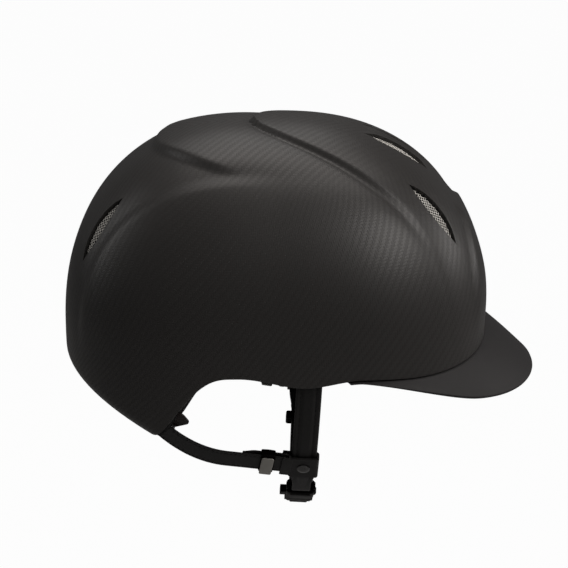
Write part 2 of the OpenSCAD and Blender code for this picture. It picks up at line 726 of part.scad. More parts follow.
// A leather tab under the rear anchor's rivet, turned so that it reaches forward past the rim
tab_thick = 1.2;
tab_low = turn_in - 0.6 - plate_thick - tab_thick;
tab_turn = 101;
tab_half = 5;
tab_back = 6;
module tab_block(grow) {
    corner = [-tab_back - grow, -tab_half - grow, tab_low - grow];
    at_rear_frame(rear_rivet_u) rotate(tab_turn) translate(corner)
        cube([tab_reach + tab_back + 2 * grow, 2 * (tab_half + grow), tab_thick + 2 * grow]);
}
module anchor_tab() {
    color([0.25, 0.14, 0.09]) difference() {
        tab_block(0);
        at_rear_frame(rear_rivet_u) translate([0, 0, tab_low - 1]) cylinder(r = rivet_radius + 0.1, h = 4);
    }
}
module rear_rivet() {
    at_rear_frame(rear_rivet_u) translate([0, 0, tab_low - 0.15]) {
        cylinder(r = rivet_radius, h = plate_thick + rear_strap_thick + tab_thick + 1.4);
        translate([0, 0, -rivet_head]) cylinder(r = 2 * rivet_radius, h = rivet_head);
    }
}
slider_wall = 1;
module strap_slider() {
    inside = [slider_length + 2, 2 * turn_out + 2 * fit, strap_width + 2 * fit];
    outside = [slider_length, inside.y + 2 * slider_wall, inside.z + 2 * slider_wall];
    color([0.5, 0.5, 0.48]) at_rear() translate([-slider_at, 0, 0]) difference() {
        rounded_block(outside, 1.2);
        cube(inside, center = true);
    }
}
// A block whose four long edges along Y are rounded
module rounded_block(size, r) {
    cube([size.x - 2 * r, size.y, size.z], center = true);
    cube([size.x, size.y, size.z - 2 * r], center = true);
    for (i = [-1, 1]) for (k = [-1, 1])
        translate([i * (size.x / 2 - r), 0, k * (size.z / 2 - r)]) rotate([90, 0, 0])
            cylinder(r = r, h = size.y, center = true);
}

// The side-release buckle, along the line between the two straps' bars
bar_right = bar_middle(buckle_right);
bar_left = bar_middle(buckle_left);
buckle_span = norm(bar_left - bar_right);
buckle_slope = atan2(bar_left.y - bar_right.y, bar_left.x - bar_right.x);
buckle_width = strap_width + 2 * 0.4 + 2 * 1.6;
body_start = bar_gap + strap_thick + 0.6;
body_end = body_start + housing_length;
plug_start = body_end + 0.4;
plug_end = buckle_span - body_start;
throat_half = 7.2;
throat_height = 5.2;
guide_half = 1.6;
arm_pivot_x = 5.2;
arm_pivot_y = plug_start + 1.7;
arm_pivot_r = 1.3;
arm_width = 2;
arm_height = throat_height - 0.8;
arm_pad = [8.5, buckle_width / 2 + 0.9];
arm_play = 0.6;
window = [buckle_width - 2 * throat_half + 1, arm_length - 4 + 2 * arm_play, throat_height - 0.2];
module in_buckle() {
    in_loop() translate([0, bar_right.x, bar_right.y]) rotate([buckle_slope, 0, 0]) children();
}
// Two cheeks and the bar between them, at y = 0, that join a strap to a body starting at y = reach
module strap_bar(reach) {
    cheek = (buckle_width - strap_width) / 2 - 0.4;
    rotate([0, 90, 0]) cylinder(r = bar_radius, h = buckle_width - cheek, center = true);
    for (s = [-1, 1]) translate([s * (buckle_width - cheek) / 2, 0, 0]) {
        rotate([0, 90, 0]) cylinder(r = 2.4, h = cheek, center = true);
        translate([0, reach / 2, 0]) cube([cheek, abs(reach) + 1, 4.8], center = true);
    }
}
module buckle_housing() {
    color([0.08, 0.08, 0.08]) in_buckle() difference() {
        union() {
            strap_bar(body_start);
            translate([0, (body_start + body_end) / 2, 0])
                rounded_block([buckle_width, housing_length, buckle_thick], 2.2);
        }
        translate([-throat_half, body_start + 3, -throat_height / 2])
            cube([2 * throat_half, housing_length, throat_height]);
        for (s = [-1, 1]) translate([s * buckle_width / 2, arm_pivot_y - arm_length / 2 - 2, 0])
            cube(window, center = true);
    }
}
module buckle_plug() {
    length = plug_end - plug_start;
    color([0.09, 0.09, 0.09]) in_buckle() {
        difference() {
            union() {
                translate([0, buckle_span, 0]) strap_bar(-body_start);
                translate([0, (plug_start + plug_end) / 2, 0])
                    rounded_block([buckle_width - 1, length, buckle_thick - 1.4], 2);
                translate([-guide_half, body_end - arm_length, -arm_height / 2])
                    cube([2 * guide_half, arm_length + 2, arm_height]);
            }
            for (s = [-1, 1]) translate([s * arm_pivot_x, arm_pivot_y, 0]) {
                cylinder(r = arm_pivot_r + 0.05, h = arm_height + 0.2, center = true);
                translate([0, -3, 0]) cube([arm_width + 1.4, 6, arm_height + 0.2], center = true);
            }
        }
    }
}
// A release arm turns about a pin in the plug; its pad stands out through the housing's window
module release_arm(s) {
    tip = arm_pivot_y - arm_length;
    color([0.1, 0.1, 0.1]) in_buckle() {
        translate([s * arm_pivot_x, arm_pivot_y, 0]) cylinder(r = arm_pivot_r, h = arm_height, center = true);
        translate([s * arm_pivot_x - arm_width / 2, tip, -arm_height / 2])
            cube([arm_width, arm_length, arm_height]);
        translate([s > 0 ? arm_pivot_x : -arm_pad[1], tip + 1, -arm_height / 2 + 0.1])
            cube([arm_pad[1] - arm_pivot_x, arm_length - 6, arm_height - 0.2]);
    }
}
module release_arm_front() {
    release_arm(1);
}
module release_arm_rear() {
    release_arm(-1);
}

outer_shell();
shock_liner();
rim_trim();
peak();
vent_mesh(upper_vent);  // vent_mesh_upper_right
mirror([0, 1, 0]) vent_mesh(upper_vent);  // vent_mesh_upper_left
vent_mesh(lower_vent);  // vent_mesh_lower_right
mirror([0, 1, 0]) vent_mesh(lower_vent);  // vent_mesh_lower_left
vent_mesh(rear_vent);  // vent_mesh_rear_right
mirror([0, 1, 0]) vent_mesh(rear_vent);  // vent_mesh_rear_left
brow_pad();
crown_pad();
side_pad(-1);  // side_pad_right
side_pad(1);  // side_pad_left
nape_pad();
hook_patches();
front_strap_right();
front_strap_left();
rear_strap();  // rear_strap_right
mirror([0, 1, 0]) rear_strap();  // rear_strap_left
front_anchor();  // front_anchor_right
mirror([0, 1, 0]) front_anchor();  // front_anchor_left
rear_anchor();  // rear_anchor_right
mirror([0, 1, 0]) rear_anchor();  // rear_anchor_left
both_sides() { front_rivet(); rear_rivet(); }  // anchor_rivets
anchor_tab();  // anchor_tab_right
mirror([0, 1, 0]) anchor_tab();  // anchor_tab_left
strap_keeper();  // strap_keeper_right
mirror([0, 1, 0]) strap_keeper();  // strap_keeper_left
color([0.45, 0.45, 0.44]) both_sides() press_stud();  // press_studs
strap_slider();  // strap_slider_right
mirror([0, 1, 0]) strap_slider();  // strap_slider_left
buckle_housing();
buckle_plug();
release_arm_front();
release_arm_rear();
chin_adjuster();
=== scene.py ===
import math

import bmesh
import bpy
import numpy as np
from bpy.props import FloatProperty, FloatVectorProperty, IntProperty, PointerProperty
from mathutils import Matrix, Vector


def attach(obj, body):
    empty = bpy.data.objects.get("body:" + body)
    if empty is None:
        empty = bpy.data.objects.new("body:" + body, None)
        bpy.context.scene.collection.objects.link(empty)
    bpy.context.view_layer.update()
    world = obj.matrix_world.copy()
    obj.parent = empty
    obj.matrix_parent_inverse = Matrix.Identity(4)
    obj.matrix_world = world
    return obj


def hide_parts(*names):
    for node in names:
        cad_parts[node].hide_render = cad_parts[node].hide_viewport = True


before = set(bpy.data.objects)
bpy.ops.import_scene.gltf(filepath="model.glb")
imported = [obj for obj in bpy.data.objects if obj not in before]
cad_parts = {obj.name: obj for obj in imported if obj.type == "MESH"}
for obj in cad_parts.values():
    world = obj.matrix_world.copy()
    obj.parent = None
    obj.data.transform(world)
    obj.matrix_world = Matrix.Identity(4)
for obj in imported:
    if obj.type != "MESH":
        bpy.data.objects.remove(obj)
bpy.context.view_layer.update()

bl_info = {
    "name": "Riding Helmet",
    "version": (1, 0, 0),
    "blender": (4, 5, 0),
    "location": "3D View > Sidebar > Helmet",
    "description": "Dresses the packed helmet with its shell, peak, lining and leather harness",
    "category": "Object",
}

MM = 0.001


class HelmetShell(bpy.types.PropertyGroup):
    """Form and finish of the hard shell and the peak"""

    front_reach: FloatProperty(name="Front reach", description="Shell in front of the head's centre", default=0.135, unit="LENGTH")
    rear_reach: FloatProperty(name="Rear reach", description="Shell behind the head's centre", default=0.133, unit="LENGTH")
    half_width: FloatProperty(name="Half width", description="Half the shell's width", default=0.106, unit="LENGTH")
    crown_rise: FloatProperty(name="Crown rise", description="Crown above the head's centre", default=0.1255, unit="LENGTH")
    wall: FloatProperty(name="Wall", description="Thickness of the laminate", default=0.0026, unit="LENGTH")
    tow: FloatProperty(name="Tow width", description="Width of one tow of the woven cloth", default=0.00135, unit="LENGTH")
    # Painted sheen: both tows are the same near-black carbon, and the lighter lengthwise colour and the darker
    # crosswise one paint the sheen that each direction of tow catches
    tow_colour_sheen_lit: FloatVectorProperty(name="Lengthwise tows", description="Colour of the tows that run lengthwise", default=(0.0252, 0.0236, 0.0226), subtype="COLOR")
    tow_colour_sheen_dim: FloatVectorProperty(name="Crosswise tows", description="Colour of the tows that run across", default=(0.0238, 0.0223, 0.0214), subtype="COLOR")
    peak_colour: FloatVectorProperty(name="Peak", description="Colour of the soft peak", default=(0.0195, 0.0185, 0.0190), subtype="COLOR")
    peak_tip: FloatProperty(name="Peak tip", description="Tip of the peak in front of the head's centre", default=0.168, unit="LENGTH")


class HelmetLining(bpy.types.PropertyGroup):
    """Liner, pads and vent meshes"""

    mesh_colour: FloatVectorProperty(name="Mesh", description="Colour of the vent meshes", default=(0.86, 0.84, 0.79), subtype="COLOR")
    mesh_pitch: FloatProperty(name="Mesh pitch", description="Distance between the mesh's holes", default=0.00175, unit="LENGTH")
    foam_colour: FloatVectorProperty(name="Foam", description="Colour of the shock liner", default=(0.016, 0.016, 0.017), subtype="COLOR")
    pad_colour: FloatVectorProperty(name="Pads", description="Colour of the knitted pads", default=(0.014, 0.014, 0.015), subtype="COLOR")
    nape_colour: FloatVectorProperty(name="Nape leather", description="Colour of the leather at the nape", default=(0.011, 0.0065, 0.0055), subtype="COLOR")
    pad_thick: FloatProperty(name="Pad thickness", description="Thickness of the pads at their crown", default=0.0065, unit="LENGTH")


class HelmetHarness(bpy.types.PropertyGroup):
    """Straps, keepers, sliders and buckle"""

    strap_width: FloatProperty(name="Strap width", description="Width of all straps", default=0.0156, unit="LENGTH")
    strap_thick: FloatProperty(name="Strap thickness", description="Thickness of the front straps", default=0.0022, unit="LENGTH")
    stitch_pitch: FloatProperty(name="Stitch pitch", description="Distance between two stitches", default=0.0030, unit="LENGTH")
    leather: FloatVectorProperty(name="Leather", description="Colour of the strap leather", default=(0.0062, 0.0060, 0.0059), subtype="COLOR")
    thread: FloatVectorProperty(name="Thread", description="Colour of the stitching", default=(0.008, 0.008, 0.008), subtype="COLOR")
    slider_colour: FloatVectorProperty(name="Slider", description="Colour of the sliders", default=(0.29, 0.28, 0.255), subtype="COLOR")
    plastic: FloatVectorProperty(name="Buckle", description="Colour of the buckle's plastic", default=(0.0022, 0.0016, 0.0016), subtype="COLOR")
    stud_metal: FloatVectorProperty(name="Stud", description="Colour of the press studs", default=(0.10, 0.10, 0.10), subtype="COLOR")


class HelmetStage(bpy.types.PropertyGroup):
    """Camera, floor and lamps"""

    camera_place: FloatVectorProperty(name="Camera", description="Where the camera stands", default=(0.0067, -1.1632, 0.3925), unit="LENGTH")
    aim: FloatVectorProperty(name="Aim", description="Point that the camera looks at", default=(0.0067, 0.0, 0.0146), unit="LENGTH")
    lens: FloatProperty(name="Lens", description="Focal length in millimetres", default=120.0)
    floor_z: FloatProperty(name="Floor", description="Height of the floor", default=-0.42, unit="LENGTH")
    key_power: FloatProperty(name="Key power", description="Power of the key lamp, in watts; the others follow it", default=8.9)


# Form of the helmet, in millimetres: the same formulas that the CAD part is built from

def ease(a, b, x):
    u = np.clip((x - a) / (b - a), 0, 1)
    return u * u * (3 - 2 * u)


def soft_min(a, b, k):
    h = np.clip(0.5 + (b - a) / (2 * k), 0, 1)
    return b * (1 - h) + a * h - k * h * (1 - h)


def direction(t, a):
    t, a = np.radians(t), np.radians(a)
    return np.stack([np.sin(t) * np.cos(a), np.sin(t) * np.sin(a), np.cos(t) + 0 * a], axis=-1)


def oval(p, a, q, b, n):
    return (np.abs(p / a) ** n + np.abs(q / b) ** n) ** (-1 / n)


def form_r(t, a):
    """Distance from the centre to the plain outer form, at t degrees down from the crown and azimuth a"""
    s = bpy.context.scene.helmet_shell
    d = direction(t, a)
    ca, sa = np.cos(np.radians(a)), np.sin(np.radians(a))
    ct, st = np.cos(np.radians(t)), np.sin(np.radians(t))
    plan = oval(ca, np.where(ca > 0, s.front_reach, s.rear_reach) / MM, sa, s.half_width / MM, 2.85)
    drop = 184 + (np.where(ca > 0, 280, 158) - 184) * ca * ca
    upper = oval(st, plan, np.maximum(ct, 1e-6), s.crown_rise / MM, 2.26)
    lower = oval(st, plan, np.minimum(ct, -1e-6), drop, 2.4)
    r = np.where(ct > 0, upper, lower)
    lean = -(d[..., 0] * math.sin(math.radians(28)) + d[..., 2] * math.cos(math.radians(28)))
    cut = np.where(lean > 0.05, 82.5 / np.maximum(lean, 0.05), 2 * r)
    return soft_min(r, np.minimum(cut, 2 * r), 14)


def fall(d, length):
    return np.exp(-np.maximum(0, d) / length)


def front_line(x, y):
    """Distance ahead of the line where the front panel steps over the middle one"""
    return x + 13.5 - 0.0186 * y * y


def relief(x, y, z):
    """The panels' lips, steps and shoulders"""
    y = np.abs(y)
    ahead = x + 74.5 - 0.0072 * y * y - 0.0000011 * y ** 4
    near = ahead / np.hypot(1, 0.0144 * y + 0.0000044 * y ** 3)
    lip = 3.0 * ease(-3.2, 3.2, near) * fall(ahead, 28) * (1 - ease(54, 68, y)) * ease(35, 55, z)
    ahead = front_line(x, y)
    near = ahead / np.hypot(1, 0.0372 * y)
    step = -2.8 * fall(-ahead, 22) * (1 - ease(-2.5, 2.5, near)) * (1 - ease(62, 84, y))
    step = step - 0.6 * np.exp(-((near + 2.2) / 2.0) ** 2) * (1 - ease(50, 76, y))
    out = y - 68
    fade = ease(10, -40, x) * ease(-15, 30, z)
    shoulder = fade * (1.1 * ease(-4.5, 4.5, out) * fall(out, 30) - 1.3 * (1 - ease(-4.5, 4.5, out)) * fall(-out, 30))
    half = 63 - 43 * np.exp(-np.maximum(0, 72 - z) / 25)
    below = ease(-4, 4, 72 - z)
    brow = ease(50, 70, x) * (
        2.0 * below * ease(-5, 5, half - y) * ease(-10, 35, z)
        - 1.8 * (1 - below) * fall(z - 72, 14) * (1 - ease(22, 45, y)))
    return lip + step + shoulder + brow


def shell_r(t, a):
    r = form_r(t, a)
    p = r[..., None] * direction(t, a)
    return r + relief(p[..., 0], p[..., 1], p[..., 2])


def rim_t(a):
    s = np.abs(np.where(np.asarray(a) > 180, np.asarray(a) - 360, a))
    nape = 18 * ease(103, 129, s) ** 1.5 - 2.5 * ease(129, 140, s)
    return 92.8 + 3.6 * ease(5, 50, s) + 2.7 * ease(62, 80, s) - 3.1 * ease(80, 101, s) + nape


def degrees_for(length, r):
    return np.degrees(length / r)


def on_shell(t, a, depth=0.0):
    return (shell_r(np.asarray(t, float), np.asarray(a, float)) - depth)[..., None] * direction(t, a)


def cavity_r(t, a):
    """Inside of the shock liner"""
    ca, sa = np.cos(np.radians(a)), np.sin(np.radians(a))
    ct, st = np.cos(np.radians(t)), np.sin(np.radians(t))
    room = 6.5 - 1.5 + 0.6
    plan = oval(ca, 98.5 + room, sa, 77.5 + room, 2.15)
    upper = oval(st, plan, np.maximum(ct, 1e-6), 94 + room, 2.1)
    head = np.where(ct > 0, upper, plan / np.maximum(0.5, st))
    return soft_min(head, shell_r(t, a) - 2.6 - 0.4 - 12, 9)


# Mesh helpers

def finish(name, bm, material, body="helmet", replaces=(), smooth=40, weld=True):
    """Turns a bmesh, in millimetres, into a piece that rides on a body"""
    if weld:
        bmesh.ops.remove_doubles(bm, verts=bm.verts, dist=1e-4)
    bmesh.ops.scale(bm, vec=(MM, MM, MM), verts=bm.verts)
    mesh = bpy.data.meshes.new(name)
    bm.to_mesh(mesh)
    bm.free()
    piece = bpy.data.objects.new(name, mesh)
    bpy.context.scene.collection.objects.link(piece)
    mesh.materials.append(material)
    shade(mesh, smooth)
    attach(piece, body)
    if replaces:
        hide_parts(*replaces)
    return piece


def shade(mesh, angle):
    """Smooth faces, with every edge sharper than the angle kept crisp"""
    mesh.shade_smooth()
    if angle < 180:
        mesh.set_sharp_from_angle(angle=math.radians(angle))


def place_verts(bm, where):
    """Moves every vertex of the bmesh to where(its coordinates as an array) gives"""
    co = np.array([v.co[:] for v in bm.verts], float)
    for v, p in zip(bm.verts, where(co)):
        v.co = p


def tube(sections, steps, where, caps=True):
    """A closed skin of that many points round and steps along, each point placed by where(share along, share round)"""
    bm = bmesh.new()
    bmesh.ops.create_cone(bm, cap_ends=caps, cap_tris=False, segments=sections, radius1=1, radius2=1, depth=1)
    along = [e for e in bm.edges if abs(e.verts[0].co.z - e.verts[1].co.z) > 0.5]
    bmesh.ops.subdivide_edges(bm, edges=along, cuts=steps - 1)
    place_verts(bm, lambda c: where(c[:, 2] + 0.5, np.round((np.arctan2(c[:, 1], c[:, 0]) / (2 * math.pi)) * sections) % sections / sections))
    bmesh.ops.recalc_face_normals(bm, faces=bm.faces)
    return bm


def ring(sections, steps, where):
    """A closed ring: where(share along the ring, share round its section)"""
    bm = bmesh.new()
    bmesh.ops.create_circle(bm, segments=sections, radius=1, matrix=Matrix.Translation((4, 0, 0)) @ Matrix.Rotation(math.pi / 2, 4, "X"))
    bmesh.ops.spin(bm, geom=bm.verts[:] + bm.edges[:], axis=(0, 0, 1), cent=(0, 0, 0), angle=2 * math.pi, steps=steps, use_merge=True)

    def place(c):
        along = np.round(np.arctan2(c[:, 1], c[:, 0]) / (2 * math.pi) * steps) % steps / steps
        out = np.hypot(c[:, 0], c[:, 1]) - 4
        around = np.round(np.arctan2(c[:, 2], out) / (2 * math.pi) * sections) % sections / sections
        return where(along, around)

    place_verts(bm, place)
    bmesh.ops.recalc_face_normals(bm, faces=bm.faces)
    return bm


def rounded_rect(share, width, height, radius, power=None):
    """Points and outward normals at that share of a rounded rectangle's outline"""
    w, h, r = width / 2 - radius, height / 2 - radius, radius
    arc = math.pi * r / 2
    sides = [2 * h, arc, 2 * w, arc, 2 * h, arc, 2 * w, arc]
    ends = np.cumsum(sides)
    d = np.asarray(share) * ends[-1]
    out = np.zeros((len(d), 2))
    nor = np.zeros((len(d), 2))
    start = 0
    starts = [(w + r, -h), None, (w, h + r), None, (-w - r, h), None, (-w, -h - r), None]
    ways = [(0, 1), None, (-1, 0), None, (0, -1), None, (1, 0), None]
    norms = [(1, 0), None, (0, 1), None, (-1, 0), None, (0, -1), None]
    cents = [None, (w, h), None, (-w, h), None, (-w, -h), None, (w, -h)]
    for k in range(8):
        here = (d >= start - 1e-9) & (d < ends[k] + (1 if k == 7 else 0))
        s = d[here] - start
        if k % 2 == 0:
            out[here] = np.array(starts[k]) + s[:, None] * np.array(ways[k])
            nor[here] = norms[k]
        else:
            f = (k - 1) / 2 * math.pi / 2 + s / max(r, 1e-9)
            nor[here] = np.stack([np.cos(f), np.sin(f)], axis=1)
            out[here] = np.array(cents[k]) + r * nor[here]
        start = ends[k]
    return out, nor


def apply_modifiers(piece):
    bpy.context.view_layer.update()
    graph = bpy.context.evaluated_depsgraph_get()
    done = bpy.data.meshes.new_from_object(piece.evaluated_get(graph))
    piece.modifiers.clear()
    piece.data = done
    return piece


# Material helpers

class Nodes:
    """A short way to build one material's node tree"""

    def __init__(self, name, colour, roughness, **sockets):
        self.material = bpy.data.materials.new(name)
        self.material.use_nodes = True
        self.tree = self.material.node_tree
        self.shader = self.tree.nodes["Principled BSDF"]
        self.shader.inputs["Base Color"].default_value = (*colour, 1)
        self.shader.inputs["Roughness"].default_value = roughness
        for key, value in sockets.items():
            self.shader.inputs[key.replace("_", " ")].default_value = value

    def add(self, kind, inputs=(), **settings):
        node = self.tree.nodes.new("ShaderNode" + kind)
        for key, value in settings.items():
            setattr(node, key, value)
        for key, value in dict(inputs).items():
            if isinstance(value, bpy.types.NodeSocket):
                self.tree.links.new(value, node.inputs[key])
            else:
                node.inputs[key].default_value = value
        return node

    def math(self, operation, a, b=0.0, c=0.0, clamp=False):
        return self.add("Math", {0: a, 1: b, 2: c}, operation=operation, use_clamp=clamp).outputs[0]

    def mix(self, factor, a, b):
        node = self.add("Mix", {0: factor}, data_type="RGBA")
        for key, value in ((6, a), (7, b)):
            if isinstance(value, bpy.types.NodeSocket):
                self.tree.links.new(value, node.inputs[key])
            else:
                node.inputs[key].default_value = (*value, 1) if len(value) == 3 else value
        return node.outputs[2]

    def coordinates(self):
        return self.add("TexCoord").outputs["Object"]

    def noise(self, scale, detail=2.0, roughness=0.5, vector=None):
        vector = vector or self.coordinates()
        return self.add("TexNoise", {"Vector": vector, "Scale": scale, "Detail": detail, "Roughness": roughness}).outputs[0]

    def link(self, socket, name):
        self.tree.links.new(socket, self.shader.inputs[name])

    def bump(self, height, distance, strength=1.0, before=None):
        inputs = {"Height": height, "Distance": distance, "Strength": strength}
        if before:
            inputs["Normal"] = before
        out = self.add("Bump", inputs).outputs[0]
        self.link(out, "Normal")
        return out


def twill_laminate():
    """Woven fibre cloth under a satin coat, laid one way over the crown and another down the sides"""
    s = bpy.context.scene.helmet_shell
    m = Nodes("twill_laminate", s.tow_colour_sheen_lit, 0.42, Specular_IOR_Level=0.42)

    def across(x):
        f = m.math("FRACT", x)
        return m.math("MULTIPLY", m.math("MULTIPLY", f, m.math("SUBTRACT", 1.0, f)), 4.0)

    def blend(factor, a, b):
        return m.math("ADD", m.math("MULTIPLY", factor, a), m.math("MULTIPLY", m.math("SUBTRACT", 1.0, factor), b))

    def cloth(name):
        """Where the lengthwise tows lie on top, and how high the tow stands there"""
        split = m.add("SeparateXYZ", {0: m.add("UVMap", uv_map=name).outputs[0]})
        u, v = split.outputs[0], split.outputs[1]
        cell = m.math("ADD", m.math("FLOOR", u), m.math("FLOOR", v))
        over = m.math("LESS_THAN", m.math("FLOORED_MODULO", cell, 4.0), 2.0)
        long_fibres = m.add("TexNoise", {"Vector": m.add("CombineXYZ", {0: m.math("MULTIPLY", u, 0.35), 1: m.math("MULTIPLY", v, 9.0)}).outputs[0], "Scale": 1.0, "Detail": 1.0}).outputs[0]
        cross_fibres = m.add("TexNoise", {"Vector": m.add("CombineXYZ", {0: m.math("MULTIPLY", u, 9.0), 1: m.math("MULTIPLY", v, 0.35)}).outputs[0], "Scale": 1.0, "Detail": 1.0}).outputs[0]
        return over, m.math("POWER", blend(over, across(v), across(u)), 0.6), blend(over, long_fibres, cross_fibres)

    side = m.add("Attribute", attribute_name="side_cloth").outputs["Fac"]
    over, crown, strand = (blend(side, a, b) for a, b in zip(cloth("weave_side"), cloth("weave")))
    # Painted shade: each tow is darkened towards its edges, where the tows meet, mixed towards a third of the crosswise
    # colour, and streaked along its fibres
    tow_edge_shade_and_streaks = m.math("MULTIPLY", m.math("MULTIPLY_ADD", crown, 0.10, 0.90), m.math("MULTIPLY_ADD", strand, 0.16, 0.92))
    # Painted sheen: the lengthwise tows take the lighter colour and the crosswise ones the darker
    base = m.mix(over, s.tow_colour_sheen_dim, s.tow_colour_sheen_lit)
    m.link(m.mix(tow_edge_shade_and_streaks, tuple(c * 0.35 for c in s.tow_colour_sheen_dim), base), "Base Color")
    wear = m.noise(14.0, 3.0)
    m.link(m.math("ADD", m.math("MULTIPLY_ADD", over, -0.03, 0.405), m.math("MULTIPLY", wear, 0.06)), "Roughness")
    m.link(m.math("MULTIPLY_ADD", over, 0.07, 0.385), "Specular IOR Level")
    m.bump(m.math("ADD", crown, m.math("MULTIPLY", strand, 0.25)), 0.00004, 0.8)
    return m.material


def soft_cover(name, colour, roughness=0.6, grain=900.0, depth=0.00008):
    """Fine-grained soft cover, as on the peak"""
    m = Nodes(name, colour, roughness, Specular_IOR_Level=0.25)
    fine = m.noise(grain, 3.0, 0.6)
    broad = m.noise(18.0, 3.0)
    light = tuple(min(1, c * 1.25) for c in colour)
    m.link(m.mix(m.math("MULTIPLY_ADD", fine, 0.5, m.math("MULTIPLY", broad, 0.5)), tuple(c * 0.78 for c in colour), light), "Base Color")
    m.link(m.math("MULTIPLY_ADD", broad, 0.12, roughness - 0.06), "Roughness")
    m.bump(fine, depth, 0.6)
    return m.material


def leather(name, colour, roughness=0.5):
    """Grained leather with creases and worn high spots"""
    m = Nodes(name, colour, roughness, Specular_IOR_Level=0.27)
    grain = m.add("TexVoronoi", {"Vector": m.coordinates(), "Scale": 1400.0}, feature="DISTANCE_TO_EDGE").outputs["Distance"]
    pore = m.math("MINIMUM", m.math("MULTIPLY", grain, 3.0), 1.0)
    crease = m.noise(160.0, 4.0, 0.65)
    light = tuple(min(1, c * 1.8 + 0.004) for c in colour)
    m.link(m.mix(m.math("MULTIPLY", m.math("POWER", crease, 1.6), 1.0), colour, light), "Base Color")
    m.link(m.math("MULTIPLY_ADD", crease, 0.18, roughness - 0.09), "Roughness")
    m.bump(m.math("ADD", m.math("MULTIPLY", pore, 0.6), crease), 0.00009, 0.7)
    return m.material


def knit(name, colour, sheen=0.35):
    """Spacer-knit lining with small eyelets"""
    m = Nodes(name, colour, 0.92, Sheen_Weight=sheen, Sheen_Roughness=0.6, Specular_IOR_Level=0.15)
    at = m.coordinates()
    holes = m.add("TexVoronoi", {"Vector": at, "Scale": 520.0, "Randomness": 0.25}).outputs["Distance"]
    # Painted shade: the eyelets are darkened and the knit between them lightened; the same pattern drives the bump
    eyelet_relief_and_shade = m.math("SMOOTH_MIN", m.math("MULTIPLY", holes, 2.6), 1.0, 0.2)
    m.link(m.mix(eyelet_relief_and_shade, tuple(c * 0.4 for c in colour), tuple(min(1, c * 1.4) for c in colour)), "Base Color")
    m.bump(eyelet_relief_and_shade, 0.00025, 0.8)
    return m.material


def bead_foam(name, colour):
    """Moulded bead foam"""
    m = Nodes(name, colour, 0.8, Specular_IOR_Level=0.25)
    beads = m.add("TexVoronoi", {"Vector": m.coordinates(), "Scale": 420.0}, feature="DISTANCE_TO_EDGE").outputs["Distance"]
    # Painted shade: darker along the seams between the beads and lighter on their faces; the same pattern drives the
    # bump
    skin = m.math("MINIMUM", m.math("MULTIPLY", beads, 4.0), 1.0)
    m.link(m.mix(skin, tuple(c * 0.5 for c in colour), tuple(min(1, c * 1.3) for c in colour)), "Base Color")
    m.bump(skin, 0.0002, 0.6)
    return m.material


def moulded_plastic(name, colour, roughness=0.3, shine=0.5):
    m = Nodes(name, colour, roughness, Specular_IOR_Level=shine)
    haze = m.noise(60.0, 3.0)
    fine = m.noise(1500.0, 2.0)
    m.link(m.mix(haze, tuple(c * 0.85 for c in colour), tuple(min(1, c * 1.15) for c in colour)), "Base Color")
    m.link(m.math("MULTIPLY_ADD", haze, 0.14, roughness - 0.05), "Roughness")
    m.bump(fine, 0.00002, 0.5)
    return m.material


def worn_metal(name, colour, roughness=0.28):
    m = Nodes(name, colour, roughness, Metallic=1.0)
    scratch = m.noise(700.0, 4.0, 0.7)
    haze = m.noise(90.0, 3.0)
    m.link(m.mix(haze, tuple(c * 0.75 for c in colour), tuple(min(1, c * 1.2) for c in colour)), "Base Color")
    m.link(m.math("MULTIPLY_ADD", scratch, 0.2, roughness - 0.08), "Roughness")
    m.bump(scratch, 0.00001, 0.4)
    return m.material


def woven_wire(name, colour, shine=0.4):
    m = Nodes(name, colour, 0.5, Specular_IOR_Level=shine)
    spun = m.noise(1600.0, 2.0)
    m.link(m.mix(spun, tuple(c * 0.78 for c in colour), tuple(min(1, c * 1.1) for c in colour)), "Base Color")
    m.bump(spun, 0.00004, 0.6)
    return m.material


MATERIALS = {}


def material(key):
    """The finished material of that name, made once"""
    if key not in MATERIALS:
        lining, harness, shell = (getattr(bpy.context.scene, n) for n in ("helmet_lining", "helmet_harness", "helmet_shell"))
        made = {
            "laminate": lambda: twill_laminate(),
            "peak": lambda: soft_cover("peak_cover", tuple(shell.peak_colour)),
            "trim": lambda: knit("rim_knit", (0.006, 0.006, 0.006), 0.0),
            "pad": lambda: knit("pad_knit", tuple(lining.pad_colour)),
            "nape": lambda: leather("nape_leather", tuple(lining.nape_colour), 0.5),
            "foam": lambda: bead_foam("liner_foam", tuple(lining.foam_colour)),
            "mesh": lambda: woven_wire("vent_wire", tuple(lining.mesh_colour)),
            "leather": lambda: leather("strap_leather", tuple(harness.leather)),
            "thread": lambda: woven_wire("stitching", tuple(harness.thread), 0.12),
            "slider": lambda: moulded_plastic("slider_plastic", tuple(harness.slider_colour), 0.35),
            "plastic": lambda: moulded_plastic("buckle_plastic", tuple(harness.plastic), 0.4, 0.02),
            "stud": lambda: worn_metal("stud_metal", tuple(harness.stud_metal)),
            "steel": lambda: worn_metal("anchor_steel", (0.46, 0.46, 0.47), 0.32),
            "hooks": lambda: knit("hook_tape", (0.010, 0.010, 0.010)),
        }
        MATERIALS[key] = made[key]()
    return MATERIALS[key]


def dress(node, key):
    """Gives a CAD node that stays its finished material"""
    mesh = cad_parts[node].data
    mesh.materials.clear()
    mesh.materials.append(material(key))


# Places of the vents: ends of each crescent as angles, its two bulges, its mesh's depth below the inside,
# how far its upper edge is raised and how deep its mesh is seen to lie

VENTS = {
    "upper": (25.9, 12.4, 46.3, 7.0, 6.48, 5.52, 0.9, 1.2, 0.8),
    "lower": (46.1, 32.5, 64.3, 28.2, 6.0, 4.56, 1.3, 0.5, 1.4),
    "rear": (50.3, 150.1, 70.0, 154.6, 4.83, 5.67, 2.1, 0.5, 1.6),
}
VENT_LENGTH = 47.0


